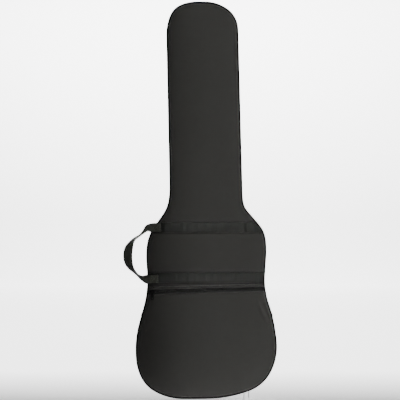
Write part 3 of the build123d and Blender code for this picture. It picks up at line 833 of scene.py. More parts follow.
class GIGBAG_OT_sides(bpy.types.Operator):
    """Fabric sides of both halves, the strip along the fold, and their topstitching"""

    bl_idname = "gigbag.sides"
    bl_label = "Sides"

    def execute(self, context):
        for half, face, way in (("front", FRONT, 1), ("back", BACK, -1)):
            low, high = (corner.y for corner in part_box(half + "_gusset_shell"))
            hem = high if half == "front" else low
            width = abs(hem - face)
            outer = [(0.0000, face + way * 0.0012), (0.0004, face + way * 0.0030),
                     (0.0009, face + way * width * 0.35), (0.0011, face + way * width * 0.6),
                     (0.0008, hem - way * 0.0052), (0.0003, hem - way * SIDE_STITCH_INSET),
                     (0.0008, hem - way * 0.0020), (0.0006, hem - way * 0.0005), (-0.0002, hem),
                     (-0.0010, hem - way * 0.0006), (-0.0011, hem - way * 0.006),
                     (-0.0011, face + way * 0.0014)]
            piece = swept(f"{half}_side", RIM.points, RIM.normals, outer, "gusset")
            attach(piece, half + "_half")
            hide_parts(half + "_gusset_shell")
            path = RIM.points + RIM.normals * 0.0005
            row = at_depth(path, hem - way * SIDE_STITCH_INSET)
            facing = at_depth(RIM.normals, 0.0)
            row, facing = np.vstack([row, row[:1]]), np.vstack([facing, facing[:1]])
            stitches(f"{half}_side_stitches", row, facing, half + "_half")
        self.spine()
        return {"FINISHED"}

    def spine(self):
        """The strip of fabric that the front half folds on."""
        inside = away_from_spine(0.004)[1]
        path, normals = RIM.points[inside], RIM.normals[inside]
        back_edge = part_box("spine_gusset_back")[1].y
        front_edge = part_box("spine_gusset_front")[0].y
        ys = np.linspace(back_edge + 0.0015, front_edge - 0.0015, 15)
        outer = [(0.0002 + 0.0010 * np.sin(pi * k / 14), y) for k, y in enumerate(ys)]
        inner = [(-0.0010, y) for y in ys[::-1]]
        piece = swept("spine_strip", path, normals, outer + inner, "gusset", closed=False)
        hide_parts("spine_gusset_back", "spine_gusset_front")
        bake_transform(piece)


# ---- Zips --------------------------------------------------------------------------
def zip_tooth():
    """One coil loop, long in Y, about the origin: its points and faces."""
    bpy.ops.object.select_all(action="DESELECT")
    bpy.ops.mesh.primitive_cylinder_add(vertices=8, radius=TOOTH_RADIUS, depth=TOOTH_LENGTH,
                                        rotation=(pi / 2, 0, 0))
    piece = bpy.context.object
    bpy.ops.object.transform_apply(location=False, rotation=True, scale=False)
    bpy.ops.object.mode_set(mode="EDIT")
    bpy.ops.mesh.select_all(action="SELECT")
    bpy.ops.transform.resize(value=(1.0, 1.0, 2.1))
    bpy.ops.object.mode_set(mode="OBJECT")
    points = [np.array(v.co) for v in piece.data.vertices]
    faces = [tuple(p.vertices) for p in piece.data.polygons]
    mesh = piece.data
    bpy.data.objects.remove(piece)
    bpy.data.meshes.remove(mesh)
    return points, faces


def teeth_along(name, places, across, outwards, finish="coil"):
    """Copies of a coil loop along 3D places; across is the loops' length, outwards their height."""
    points, faces = zip_tooth()
    pitch = sizes().tooth_pitch
    places, across, outwards = (np.array(v, float) for v in (places, across, outwards))
    run = run_of(places)
    models = []
    for i in range(int(run[-1] / pitch)):
        at = (i + 0.5) * pitch
        centre, length, up = (
            np.array([np.interp(at, run, v[:, k]) for k in range(3)])
            for v in (places, across, outwards))
        up /= np.linalg.norm(up)
        side = np.cross(length, up)
        models.append(([centre + side * p[0] + length * p[1] + up * p[2] for p in points], faces))
    return outward(copied(name, models, finish), 1e-7)


class GIGBAG_OT_main_zip(bpy.types.Operator):
    """Woven tapes and coil teeth of the main zip, with its end stops"""

    bl_idname = "gigbag.main_zip"
    bl_label = "Main zip"

    def execute(self, context):
        chain = away_from_spine(0.0)[0]
        path, normals = RIM.points[chain], RIM.normals[chain]
        for half, way in (("front", 1), ("back", -1)):
            low, high = (corner.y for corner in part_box(f"main_zip_{half}_tape"))
            hem, edge = (low, high) if half == "front" else (high, low)
            low, high = (corner.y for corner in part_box(f"main_zip_{half}_coil"))
            lip = (high if half == "front" else low) + way * 0.0004
            tape = [(-0.00045, hem - way * 0.001), (-0.0005, edge - way * 0.0006),
                    (-0.0013, edge + way * 0.0002), (-0.0014, lip), (-0.0019, lip), (-0.0018, edge),
                    (-0.0012, edge - way * 0.0012), (-0.00115, hem - way * 0.001)]
            piece = swept(f"main_{half}_tape", path, normals, tape, "tape", closed=False)
            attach(piece, half + "_half")
            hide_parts(f"main_zip_{half}_tape")
            middle = (low + high) / 2 + way * 0.0004
            shifted = path - normals * 0.0004
            begin = 0 if half == "front" else 1
            places = at_depth(shifted, middle)[begin:]
            across = np.repeat([TOWARDS_BACK], len(places), 0)
            facing = at_depth(normals, 0.0)
            if half == "back":
                steps = np.diff(places, axis=0)
                places = places + np.r_[steps, steps[-1:]] * 0.28
            teeth = teeth_along(f"main_{half}_teeth", places, across, facing[begin:])
            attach(teeth, half + "_half")
            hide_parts(f"main_zip_{half}_coil")
            row = at_depth(shifted, hem + way * TAPE_STITCH_INSET)
            stitches(f"main_{half}_tape_stitches", row, facing, half + "_half", "tape")
        paint(frame["nodes"]["main_zip_end_stops"], "black_metal")
        return {"FINISHED"}


def pocket_line():
    """A point on the pocket zip's middle, its direction and its up, as x, y, z arrays."""
    along = np.array(joint_named("pocket_zip_travel")["axis"], float)
    up = np.array((-along[2], 0.0, along[0]))
    low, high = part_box("pocket_zip_lower_coil")
    upper_coil_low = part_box("pocket_zip_upper_coil")[0]
    start = np.array((low.x, (low.y + high.y) / 2, (low.z + upper_coil_low.z + 0.0022) / 2 + 0.0004))
    length = (high.x - low.x) / along[0]
    return start, along, up, length


class GIGBAG_OT_pocket(bpy.types.Operator):
    """Pocket face, its walls, welt, zip tapes and teeth"""

    bl_idname = "gigbag.pocket"
    bl_label = "Pocket"

    def execute(self, context):
        start, along, up, length = pocket_line()
        face_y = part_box("pocket_zip_lower_tape")[0].y
        self.face(start, along, up, face_y)
        self.welt(start, along, up, face_y)
        count = 60
        for side, way, phase in (("upper", 1, 0.0), ("lower", -1, 0.5)):
            middle = start + up * way * 0.0015
            steps = np.linspace(phase * sizes().tooth_pitch, length, count)
            places = np.array([middle + along * t for t in steps])
            teeth = teeth_along(f"pocket_{side}_teeth", places, [up] * count, [TOWARDS_FRONT] * count)
            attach(teeth, "front_half")
            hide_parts(f"pocket_zip_{side}_coil")
            paint(frame["nodes"][f"pocket_zip_{side}_tape"], "flat_tape")
            strip = [start + along * t + up * way * 0.0019
                     for t in np.linspace(-0.002, length + 0.002, count)]
            lip = ribbon(f"pocket_{side}_tape_lip", set_at(strip, face_y + 0.0020), [up] * count,
                         [TOWARDS_FRONT] * count, 0.0017, 0.0006, "tape")
            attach(lip, "front_half")
        paint(frame["nodes"]["pocket_zip_stops"], "black_metal")
        return {"FINISHED"}

    def face(self, start, along, up, face_y):
        """The pocket's face, from the lower edge of the zip down to the seam."""
        slope = along[2] / along[0]
        columns, rows = 130, 84

        def edge_height(x):
            return start[2] + (x - start[0]) * slope - POCKET_EDGE_DROP

        lowest = RIM.points[:, 1].min()
        top = edge_height(0.0)
        points = []
        for share in np.linspace(0, 1, rows) ** 0.9:
            level = top + (lowest + 0.0006 - top) * share
            left, right = RIM.reach(level, PANEL_INSET)
            for k in range(columns + 1):
                eased = 0.5 - 0.5 * np.cos(pi * k / columns)
                x = left + (right - left) * (0.45 * (k / columns) + 0.55 * eased)
                z = level + (x * slope) * (1 - share)
                points.append((x, z))
        flat = np.array(points)
        depth = RIM.depth(flat)
        x, z = flat.T
        below = np.clip((edge_height(x) - z) / 0.20, 0, 1)
        wall = 0.0022 + 0.025 * below ** 0.8
        seam = FRONT + 0.0003
        rise = 1 - np.exp(-depth / wall)
        belly = np.sin(pi * np.clip(below * 0.62 + 0.06, 0, 1))
        broad = sizes().pocket_fullness * (1 - np.exp(-depth / 0.06)) * belly
        swell = (seam - face_y) * rise + broad
        fade = np.clip((edge_height(x) - z) / 0.03, 0, 1)
        swell += pucker_at(x, z, depth, sizes().pucker * 1.2, 4.0) * fade
        swell += anchor_crease(x, z) * fade
        outer = seam - swell
        mesh_points = [(a, y + back, b) for back in (0.0, POCKET_CLOTH)
                       for (a, b), y in zip(flat, outer)]
        faces, ids = sheet_faces(rows, columns + 1)
        uv = [tuple(p) for p in flat] * 2
        piece = outward(new_piece("pocket_face", mesh_points, faces, "shell", uv), 1e-6)
        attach(piece, "front_half")
        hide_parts("pocket_panel")
        end = RIM.reach(top, PANEL_INSET)[1] - 0.004
        row = [start + along * t - up * (POCKET_EDGE_DROP + 0.0026)
               for t in np.linspace(-0.001, 0.30, 60)]
        row = set_at([place for place in row if abs(place[0]) < end], face_y - 0.0003)
        stitches("pocket_edge_stitches", row, [TOWARDS_FRONT] * len(row), "front_half")

    def welt(self, start, along, up, face_y):
        """The folded welt over the upper tape, turned back to the panel."""
        low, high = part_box("pocket_zip_welt")
        left, right = low.x, high.x
        sections, points, uvs = 70, [], []
        profile = [(0.0046, -0.0004), (0.0044, -0.0012), (0.0070, -0.0016), (0.0100, -0.0014),
                   (0.0119, -0.0004), (0.0124, 0.0020), (0.0124, 0.0060), (0.0110, 0.0062),
                   (0.0110, 0.0012), (0.0096, 0.0000), (0.0060, 0.0000)]
        for i in range(sections + 1):
            x = left + (right - left) * i / sections
            travel = (x - start[0]) / along[0]
            here = start + along * travel
            for rise, back in profile:
                place = here + up * rise
                wave = 0.0003 * noise(Vector((x * 60, 2.0, rise * 90)))
                points.append((place[0], face_y + back + wave, place[2]))
                uvs.append((travel, rise + back))
        faces = tube_faces(sections + 1, len(profile))
        piece = outward(new_piece("pocket_welt", points, faces, "shell", uvs))
        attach(piece, "front_half")
        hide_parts("pocket_zip_welt")
        # Light thread rows along the welt's lower and upper fold edges: real stitching, and also a
        # painted highlight that stands in for the light these fold edges catch.
        for edge, rise in (("lower", 0.0056), ("upper", 0.0112)):
            row = [start + along * t + up * rise for t in np.linspace(0.002, right - left - 0.006, 60)]
            stitches(f"pocket_welt_{edge}_stitches", set_at(row, face_y - 0.0016),
                     [TOWARDS_FRONT] * len(row), "front_half")


# ---- Webbing -----------------------------------------------------------------------
def ribbon(name, centres, widths, normals, half_width, thickness, finish, crown=0.0, steps=6):
    """A flat strap with rounded edges through 3D centres, with its width and normal at each."""
    centres, widths, normals = (np.array(v, float) for v in (centres, widths, normals))
    run = run_of(centres)
    half = thickness / 2
    profile = [(v, half * (1 - 0.55 * abs(v) ** 6) + crown * (1 - v * v))
               for v in np.linspace(-1, 1, steps)]
    profile += [(v, -half * (1 - 0.55 * abs(v) ** 6) - crown * 0.3 * (1 - v * v))
                for v in np.linspace(1, -1, steps)]
    points, uvs = [], []
    for c, w, n, r in zip(centres, widths, normals, run):
        for v, h in profile:
            points.append(c + w * v * half_width + n * h)
            uvs.append((r, v * half_width))
    faces = tube_faces(len(centres), len(profile))
    return outward(new_piece(name, points, faces, finish, uvs), 1e-7)


def smooth_run(keys, count):
    """A smooth curve of values through keys, by even shares of the keys' own run."""
    keys = np.array(keys, float)
    run = run_of(keys[:, :3])
    at = np.linspace(0, run[-1], count)
    return softened(np.array([np.interp(at, run, column) for column in keys.T]).T)


class GIGBAG_OT_bands(bpy.types.Operator):
    """The two webbing bands across the front, lying on the padded panel"""

    bl_idname = "gigbag.bands"
    bl_label = "Bands"

    def execute(self, context):
        panel = bpy.data.objects["front_panel"]
        tree = BVHTree.FromObject(panel, context.evaluated_depsgraph_get())
        for node, seed in (("upper_band", 2.0), ("lower_band", 7.0)):
            low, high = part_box(node)
            height, half = (low.z + high.z) / 2, (high.z - low.z) / 2
            columns, rows = 240, 9
            knots, ripples = self.ripples(seed)
            points, uvs = [], []
            for k in range(columns + 1):
                for r in range(rows):
                    v = -1 + 2 * r / (rows - 1)
                    z = height + v * half
                    left, right = RIM.reach(z, 0.0006)
                    x = left + (right - left) * k / columns
                    hit = tree.ray_cast(Vector((x, -0.3, z)), Vector((0, 1, 0)))[0]
                    y = hit.y if hit else FRONT
                    slant = x + 0.004 * v * noise(Vector((x * 9, seed, 4.0)))
                    wave = np.interp(slant, knots, ripples)
                    wave += 0.2 * noise(Vector((x * 70, seed, v * 0.3)))
                    loose = (1 - 0.75 * v ** 4) * sizes().band_wave
                    points.append((x, y - 0.0006 - loose * wave, z))
                    uvs.append((x, v * half))
            points += [(x, y + BAND_THICKNESS, z) for x, y, z in points]
            uvs += uvs
            faces = sheet_faces(columns + 1, rows)[0]
            name = node.replace("_band", "_webbing_band")
            piece = outward(new_piece(name, points, faces, "band", uvs))
            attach(piece, "front_half")
            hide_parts(node)
            for edge, r in (("top", rows - 1), ("bottom", 0)):
                inward_row = r - 1 if r else 1
                row = [np.array(points[k * rows + r]) * 0.55
                       + np.array(points[k * rows + inward_row]) * 0.45
                       for k in range(2, columns - 1)]
                stitches(f"{node}_{edge}_stitches", row, [TOWARDS_FRONT] * len(row), "front_half")
        return {"FINISHED"}

    def ripples(self, seed):
        """Where the band's creases stand across it, and how far each stands out."""
        knots, heights, x = [-0.3], [0.5], -0.2
        while x < 0.2:
            share = 0.5 + 0.5 * noise(Vector((x * 41, seed, 8.0))) * 1.6
            knots.append(x)
            heights.append(float(np.clip(share, 0, 1)) if len(knots) % 2 else 0.1 * share)
            x += 0.007 + 0.012 * abs(noise(Vector((x * 97, seed + 3, 1.0)))) * 2
        return knots + [0.3], heights + [0.5]


class GIGBAG_OT_handle(bpy.types.Operator):
    """The carry handle: one webbing loop, turned on edge as it leaves each band"""

    bl_idname = "gigbag.handle"
    bl_label = "Carry handle"

    def execute(self, context):
        upper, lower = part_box("upper_band"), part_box("lower_band")
        top, bottom = (upper[0].z + upper[1].z) / 2, (lower[0].z + lower[1].z) / 2
        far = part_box("handle_webbing")[0].x
        hinge = joint_named("handle_swing")["pos_m"]
        left_top = RIM.reach(top)[0]
        left_bottom = RIM.reach(bottom)[0]
        face = FRONT - sizes().front_fullness * 0.55
        keys = [
            (left_top + 0.0140, face - 0.0042, top + 0.0000, 0),
            (left_top + 0.0040, face - 0.0038, top + 0.0000, 4),
            (left_top - 0.0100, FRONT - 0.0052, top - 0.0002, 20),
            (left_top - 0.0210, FRONT - 0.0056, top - 0.0012, 44),
            (hinge[0] - 0.0060, FRONT - 0.0060, top - 0.0080, 70),
            (hinge[0] - 0.0180, FRONT - 0.0060, top - 0.0195, 80),
            (far + 0.0300, FRONT - 0.0055, top - 0.0304, 74),
            (far + 0.0222, FRONT - 0.0050, top - 0.0410, 60),
            (far + 0.0170, FRONT - 0.0045, top - 0.0515, 36),
            (far + 0.0142, FRONT - 0.0045, top - 0.0620, 22),
            (far + 0.0130, FRONT - 0.0045, top - 0.0726, 18),
            (far + 0.0136, FRONT - 0.0045, top - 0.0832, 22),
            (far + 0.0160, FRONT - 0.0045, top - 0.0937, 36),
            (far + 0.0208, FRONT - 0.0050, top - 0.1042, 56),
            (far + 0.0293, FRONT - 0.0055, bottom + 0.0172, 74),
            (far + 0.0398, FRONT - 0.0060, bottom + 0.0066, 80),
            (far + 0.0506, FRONT - 0.0060, bottom - 0.0013, 66),
            (left_bottom - 0.003, FRONT - 0.0055, bottom - 0.0045, 16),
            (left_bottom + 0.012, FRONT - 0.0050, bottom - 0.0040, 0),
            (left_bottom + 0.025, face - 0.0042, bottom - 0.0030, 0),
        ]
        values = smooth_run(keys, 150)
        centres, lean = values[:, :3], np.radians(values[:, 3])
        way = unit(np.gradient(centres, axis=0))
        level = unit(np.cross(way, TOWARDS_FRONT))
        facing = np.cross(level, way)
        widths = level * np.cos(lean)[:, None] + facing * np.sin(lean)[:, None]
        normals = np.cross(widths, way)
        piece = ribbon("handle_strap", centres, widths, normals, WEBBING_HALF_WIDTH,
                       HANDLE_THICKNESS, "handle", steps=8)
        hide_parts("handle_webbing")
        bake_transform(piece)
        for name, x, z, y in (("upper", left_top + 0.011, top, centres[0][1]),
                              ("lower", left_bottom + 0.022, bottom - 0.003, centres[-1][1])):
            lines = [(-0.0024, 0.0024), (-0.0016, 0.0032), (-0.0008, 0.0040), (-0.0180, -0.0140),
                     (-0.0165, 0.0015), (0.0015, -0.0165)]
            for k, (low_end, high_end) in enumerate(lines):
                row = straight((x + low_end, y - 0.0013, z - 0.0108),
                               (x + high_end, y - 0.0013, z + 0.0108), 10)
                stitches(f"handle_{name}_stitches_{k}", row, [TOWARDS_FRONT] * 10, "front_half")
        return {"FINISHED"}


# ---- Shoulder straps ---------------------------------------------------------------
BOX_STITCH = (((-1, -1), (1, 1)), ((-1, 1), (1, -1)), ((-1, -1), (-1, 1)), ((1, -1), (1, 1)))


class StrapLine:
    """The line of one shoulder strap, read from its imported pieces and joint."""

    def __init__(self, side):
        joint = joint_named(f"strap_swing_{side}")
        self.top = np.array(joint["pos_m"], float)
        self.chord = np.array(joint["axis"], float)
        self.pad = self.slices(f"strap_{side}_pad", 26)
        self.webbing = self.slices(f"strap_{side}_webbing", 18)
        self.neck = self.slices(f"strap_{side}_neck", 5)

    def slices(self, node, count):
        """Places along the chord and the middle height of a node there."""
        along = (vertices_of(node) - self.top) @ self.chord
        low, high = along.min(), along.max()
        result = []
        for at in np.linspace(low, high, count):
            upper, lower = self.heights(node, at, low, high)
            result.append((at, (upper + lower) / 2))
        return np.array(result)

    def heights(self, node, at, low, high):
        """Highest and lowest y of a node at one place along the chord."""
        at = min(max(at, low + 0.0006), high - 0.0006)
        tree = BVHTree.FromObject(frame["nodes"][node], bpy.context.evaluated_depsgraph_get())
        place = self.top + self.chord * at
        down = tree.ray_cast(Vector((place[0], 0.3, place[2])), Vector((0, -1, 0)))[0]
        up = tree.ray_cast(Vector((place[0], -0.3, place[2])), Vector((0, 1, 0)))[0]
        if down is None or up is None:
            return 0.01, 0.01
        return down.y, up.y

    def frames(self, rows):
        """Centres, widths and normals for a ribbon through these places."""
        rows = np.array(rows)
        centres = np.array([(self.top + self.chord * at) * (1, 0, 1) + np.array((0, y, 0))
                            for at, y in rows])
        way = unit(np.gradient(centres, axis=0))
        width = np.cross(self.chord, (0, 1, 0))
        widths = np.repeat([width / np.linalg.norm(width)], len(rows), 0)
        return centres, widths, np.cross(widths, way)


class GIGBAG_OT_straps(bpy.types.Operator):
    """Shoulder straps: padded part with bound edges, webbing, adjusters and sewn tabs"""

    bl_idname = "gigbag.straps"
    bl_label = "Shoulder straps"

    def execute(self, context):
        for side in ("left", "right"):
            line = StrapLine(side)
            self.pad(side, line)
            self.webbing(side, line)
            self.tabs(side, line)
            paint(frame["nodes"][f"strap_{side}_adjuster"], "plastic")
        self.patch()
        return {"FINISHED"}

    def dense(self, rows, count):
        """The same line with more places."""
        at = np.linspace(rows[0][0], rows[-1][0], count)
        return np.c_[at, softened(np.interp(at, rows[:, 0], rows[:, 1]))]

    def pad(self, side, line):
        """The padded part: two swollen channels, with bound edges and stitching."""
        rows = self.dense(line.pad, 90)
        centres, widths, normals = line.frames(rows)
        packed = vertices_of(f"strap_{side}_pad")
        half = float(abs((packed - line.top) @ widths[0]).max()) - 0.0015
        profile = []
        for v in np.linspace(-1, 1, 15):
            channel = 1 - np.exp(-(abs(v) / 0.16) ** 2) * 0.18
            profile.append((v, 0.0046 * (1 - 0.62 * abs(v) ** 5) * channel))
        loop = profile + [(v, -h * 0.85) for v, h in profile[::-1]]
        mesh_points, uvs = [], []
        run = run_of(centres)
        from_end = np.minimum(run, run[-1] - run)
        taper = np.sqrt(np.clip(from_end / 0.016, 0.03, 1))
        narrow = 0.55 + 0.45 * np.sqrt(np.clip(from_end / 0.030, 0, 1))
        for i, (c, w, n) in enumerate(zip(centres, widths, normals)):
            for v, h in loop:
                soft = 0.0004 * noise(Vector((run[i] * 30, v * 2, 3.0)))
                mesh_points.append(c + w * v * half * narrow[i] + n * (h * taper[i] + soft))
                uvs.append((run[i], v * half))
        faces = tube_faces(len(centres), len(loop))
        piece = outward(new_piece(f"strap_{side}_cushion", mesh_points, faces, "pad", uvs), 1e-7)
        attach(piece, f"strap_{side}")
        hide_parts(f"strap_{side}_pad")
        for name, sign in (("outer", 1), ("inner", -1)):
            edge = np.array([c + w * sign * half * k for c, w, k in zip(centres, widths, narrow)])
            bound = ribbon(f"strap_{side}_{name}_binding", edge, normals, widths * sign,
                           0.0034, 0.0026, "binding", crown=0.0004)
            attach(bound, f"strap_{side}")
            row = [c + w * sign * (half * k - 0.0045) + n * 0.0034
                   for c, w, n, k in zip(centres[4:-4], widths[4:-4], normals[4:-4], narrow[4:-4])]
            stitches(f"strap_{side}_{name}_stitches", row, normals[4:-4], f"strap_{side}")
        row = [c + n * 0.0040 for c, n in zip(centres[6:-6], normals[6:-6])]
        stitches(f"strap_{side}_middle_stitches", row, normals[6:-6], f"strap_{side}")

    def webbing(self, side, line):
        """The webbing above and below the pad, with its ends inside the pad."""
        at, height = line.pad.T
        tucked = 0.012
        for part, rows, count in (("neck", line.neck, 14), ("webbing", line.webbing, 60)):
            dense = self.dense(rows, count)
            begin = at[0] if part == "neck" else at[-1] - tucked
            end = at[0] + tucked if part == "neck" else at[-1]
            overlap = np.linspace(begin, end, 5)
            inside = np.c_[overlap, np.interp(overlap, at, height)]
            whole = (dense[:-1], inside) if part == "neck" else (inside, dense[1:])
            centres, widths, normals = line.frames(np.vstack(whole))
            piece = ribbon(f"strap_{side}_{part}_strap", centres, widths, normals,
                           WEBBING_HALF_WIDTH, STRAP_WEBBING_THICKNESS, "webbing")
            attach(piece, f"strap_{side}")
            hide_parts(f"strap_{side}_{part}")

    def tabs(self, side, line):
        """Folded webbing tabs sewn to the back panel at both ends of a strap."""
        for where in ("top", "side"):
            node = f"strap_{side}_{where}_tab"
            along = (vertices_of(node) - line.top) @ line.chord
            low, high = along.min(), along.max()
            middle = line.top + line.chord * ((low + high) / 2)
            root, tip = (low, high) if where == "side" else (high, low)
            rows = [(root, 0.0060), (root + (tip - root) * 0.3, 0.0068),
                    (root + (tip - root) * 0.7, 0.0060), (tip, 0.0048)]
            rows = rows if root < tip else rows[::-1]
            centres, widths, normals = line.frames(self.dense(np.array(rows), 10))
            flip = 1 if normals[0][1] > 0 else -1
            piece = ribbon(f"strap_{side}_{where}_loop", centres, widths, normals,
                           WEBBING_HALF_WIDTH, TAB_THICKNESS, "webbing")
            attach(piece, "back_half")
            kept = slice(0, 8) if where == "top" else slice(2, 10)
            lowered = [c * (1, 0, 1) + np.array((0, 0.0026, 0)) for c in centres[kept]]
            base = ribbon(f"strap_{side}_{where}_base", lowered, widths[kept],
                          [(0, flip, 0)] * len(lowered), 0.0128, 0.0040, "webbing")
            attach(base, "back_half")
            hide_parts(node)
            for k, corners in enumerate(BOX_STITCH):
                first, last = [middle + line.chord * u * (high - low) * 0.36 + widths[0] * v * 0.0095
                               for u, v in corners]
                row = set_at(straight(first, last, 8), 0.0082)
                stitches(f"strap_{side}_{where}_box_{k}", row, [TOWARDS_BACK] * 8, "back_half")

    def patch(self):
        """The reinforcing patch that covers the upper ends of both straps."""
        low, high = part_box("strap_anchor_patch")
        columns, rows = 40, 14
        base_y = BACK + sizes().back_fullness * 0.9
        points, uvs = [], []
        for r in range(rows + 1):
            for c in range(columns + 1):
                u, v = -1 + 2 * c / columns, -1 + 2 * r / rows
                x = (low.x + high.x) / 2 + u * (high.x - low.x) / 2
                z = (low.z + high.z) / 2 + v * (high.z - low.z) / 2
                edge = min(1 - abs(u), (1 - abs(v)) * 0.3) * (high.x - low.x) / 2
                rise = 0.0014 * (1 - np.exp(-edge / 0.002))
                rise -= 0.0005 * np.exp(-((edge - PATCH_INSET) / 0.0012) ** 2)
                rise += 0.0003 * noise(Vector((x * 50, 1, z * 50)))
                points.append((x, base_y + 0.0002 + rise, z))
                uvs.append((x, z))
        points += [(x, BACK - 0.0002, z) for x, _, z in points]
        uvs += uvs
        faces = sheet_faces(rows + 1, columns + 1)[0]
        piece = outward(new_piece("strap_patch", points, faces, "gusset", uvs))
        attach(piece, "back_half")
        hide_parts("strap_anchor_patch")
        left, right = low.x + PATCH_INSET, high.x - PATCH_INSET
        bottom, top, y = low.z + PATCH_INSET, high.z - PATCH_INSET, base_y + 0.0013
        corners = [(left, y, bottom), (right, y, bottom), (right, y, top), (left, y, top)]
        for k, (a, b) in enumerate(zip(corners, corners[1:] + corners[:1])):
            row = straight(a, b, 20)
            stitches(f"patch_stitches_{k}", row, [TOWARDS_BACK] * 20, "back_half")


class GIGBAG_OT_fittings(bpy.types.Operator):
    """Finishes of the zip sliders and pulls"""

    bl_idname = "gigbag.fittings"
    bl_label = "Fittings"

    def execute(self, context):
        grey = [f"main_zip_{part}_{side}" for part in ("slider", "pull") for side in ("left", "right")]
        black = ["pocket_zip_slider", "pocket_zip_pull"]
        for names, finish in ((grey, "grey_metal"), (black, "black_metal")):
            for name in names:
                paint(frame["nodes"][name], finish)
        ends = ["main_zip_end_stops", "pocket_zip_stops"]
        adjusters = ["strap_left_adjuster", "strap_right_adjuster"]
        for name in grey + black + ends + adjusters:
            only(frame["nodes"][name])
            bpy.ops.object.shade_smooth_by_angle(angle=SMOOTH_ANGLE)
        return {"FINISHED"}


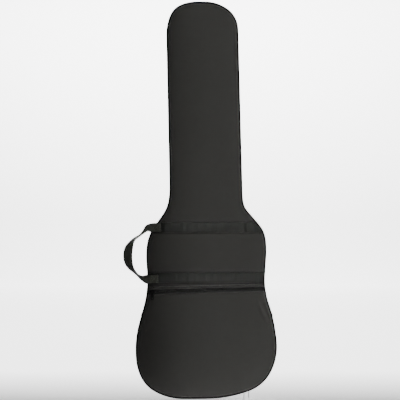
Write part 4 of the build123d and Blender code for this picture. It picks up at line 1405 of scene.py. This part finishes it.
# ---- Stage -------------------------------------------------------------------------
class GIGBAG_OT_stage(bpy.types.Operator):
    """Pale floor that curves up behind, soft lights and the camera"""

    bl_idname = "gigbag.stage"
    bl_label = "Stage"

    def execute(self, context):
        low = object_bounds()[0][2]
        bpy.ops.object.select_all(action="DESELECT")
        bpy.ops.mesh.primitive_plane_add(size=1.0, location=(0, 0, 0))
        floor = context.object
        floor.name = "studio_floor"
        bpy.ops.object.mode_set(mode="EDIT")
        bpy.ops.mesh.select_all(action="SELECT")
        bpy.ops.transform.resize(value=(24.0, 17.0, 1.0))
        bpy.ops.transform.translate(value=(0, -0.5, low - 0.0005))
        bpy.ops.object.mode_set(mode="OBJECT")
        sweep = bmesh.new()
        sweep.from_mesh(floor.data)
        back = max(v.co.y for v in sweep.verts)
        edge = [e for e in sweep.edges if all(v.co.y > back - 1e-4 for v in e.verts)]
        for turn in np.linspace(0, pi / 2, 13)[1:]:
            grown = bmesh.ops.extrude_edge_only(sweep, edges=edge)["geom"]
            edge = [g for g in grown if isinstance(g, bmesh.types.BMEdge)]
            for v in {v for e in edge for v in e.verts}:
                v.co.y = back + FLOOR_BEND * np.sin(turn)
                v.co.z = low + FLOOR_BEND * (1 - np.cos(turn))
        grown = bmesh.ops.extrude_edge_only(sweep, edges=edge)["geom"]
        for v in {g for g in grown if isinstance(g, bmesh.types.BMVert)}:
            v.co.z += WALL_HEIGHT
        sweep.to_mesh(floor.data)
        sweep.free()
        floor.data.shade_smooth()
        floor.data.materials.append(self.paper())
        floor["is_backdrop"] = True
        shining = Vector((-0.62, 0.72, -0.30)).normalized()
        aim = Vector((0.060, FRONT, 0.10))
        key = self.light("key_light", aim - shining * 3.2, (0.27, 2.4), 2.05, aim)
        key.data.spread = radians(4.0)
        self.light("fill_light", (-1.2, -4.2, 1.0), (2.4, 2.4), 3.0)
        self.light("top_light", (0.3, -0.6, 2.6), (1.6, 1.6), 3.0)
        self.light("back_light", (0.0, 3.4, 1.6), (1.8, 1.8), 6.0)
        world = bpy.data.worlds.new("studio_world")
        context.scene.world = world
        world.use_nodes = True
        world.node_tree.nodes["Background"].inputs[0].default_value = (1.0, 1.0, 1.0, 1.0)
        world.node_tree.nodes["Background"].inputs[1].default_value = 0.06
        self.camera(context)
        return {"FINISHED"}

    def paper(self):
        """White paper that glows behind the bag and less to its sides."""
        recipe = Recipe("studio_paper", 0.9)
        where = recipe.coordinates("Object")
        grain = recipe.noise(where, 220.0, 4.0)
        tint = recipe.blend_colours(grain, (0.90, 0.90, 0.90), (0.93, 0.93, 0.93))
        paper = recipe.finish(tint, grain, 0.02, 0.001)
        recipe.shader.inputs["Emission Color"].default_value = (1.0, 1.0, 1.0, 1.0)
        x, y, z = recipe.add("ShaderNodeSeparateXYZ", vector=where).outputs
        further = recipe.math("ADD", recipe.math("MULTIPLY", y, 0.8), 0.2)
        behind = ranged(recipe, further, 0.12, 3.8)
        above = ranged(recipe, recipe.math("MULTIPLY", z, 0.7), 0.0, 3.4)
        wall = recipe.math("ADD", behind, above)
        squares = [recipe.math("MULTIPLY", value, value) for value in (x, z)]
        away = recipe.math("MULTIPLY", recipe.math("ADD", *squares), 1 / 14)
        glow = recipe.math("MULTIPLY", wall, ranged(recipe, away, 1.0, 0.10))
        recipe.links.new(glow, recipe.shader.inputs["Emission Strength"])
        return paper

    def light(self, name, place, size, power, aim=Vector((0, 0, 0.1))):
        """A soft light that looks at a place on the bag."""
        data = bpy.data.lights.new(name, "AREA")
        data.shape = "RECTANGLE"
        data.size, data.size_y = size
        data.energy = power
        light = bpy.data.objects.new(name, data)
        bpy.context.scene.collection.objects.link(light)
        light.location = place
        light.rotation_euler = (aim - Vector(place)).to_track_quat("-Z", "Y").to_euler()
        return light

    def camera(self, context):
        """A long lens level with the bag's middle."""
        data = bpy.data.cameras.new("camera")
        data.sensor_width = SENSOR_MM
        data.lens = SENSOR_MM * CAMERA_DISTANCE / SEEN_HEIGHT
        data.clip_end = 60.0
        camera = bpy.data.objects.new("camera", data)
        context.scene.collection.objects.link(camera)
        camera.location = (CAMERA_SIDEWAYS, FRONT - CAMERA_DISTANCE, BOTTOM + CAMERA_ABOVE_BOTTOM)
        camera.rotation_euler = (pi / 2, 0, 0)
        context.scene.camera = camera


PIECES = (
    GIGBAG_OT_front_panel, GIGBAG_OT_back_panel, GIGBAG_OT_linings, GIGBAG_OT_sides,
    GIGBAG_OT_main_zip, GIGBAG_OT_pocket, GIGBAG_OT_piping, GIGBAG_OT_bands, GIGBAG_OT_handle,
    GIGBAG_OT_straps, GIGBAG_OT_fittings, GIGBAG_OT_stage,
)


class GIGBAG_PT_panel(bpy.types.Panel):
    """The bag's pieces and sizes"""

    bl_label = "Gig Bag"
    bl_idname = "GIGBAG_PT_panel"
    bl_space_type = "VIEW_3D"
    bl_region_type = "UI"
    bl_category = "Gig Bag"

    def draw(self, context):
        for piece in PIECES:
            self.layout.operator(piece.bl_idname)
        for group in (context.scene.gigbag_sizes, context.scene.gigbag_colours):
            column = self.layout.column()
            for name in group.bl_rna.properties.keys():
                if name not in ("rna_type", "name"):
                    column.prop(group, name)


CLASSES = (GIGBAG_sizes, GIGBAG_colours) + PIECES + (GIGBAG_PT_panel,)


def register():
    """Add the classes and the scene's properties."""
    for item in CLASSES:
        bpy.utils.register_class(item)
    bpy.types.Scene.gigbag_sizes = bpy.props.PointerProperty(type=GIGBAG_sizes)
    bpy.types.Scene.gigbag_colours = bpy.props.PointerProperty(type=GIGBAG_colours)


def unregister():
    """Take them away again."""
    del bpy.types.Scene.gigbag_sizes
    del bpy.types.Scene.gigbag_colours
    for item in reversed(CLASSES):
        bpy.utils.unregister_class(item)


def main():
    """Dress the bag piece by piece."""
    register()
    for piece in PIECES:
        family, name = piece.bl_idname.split(".")
        getattr(getattr(bpy.ops, family), name)()


if __name__ == "__main__":
    main()
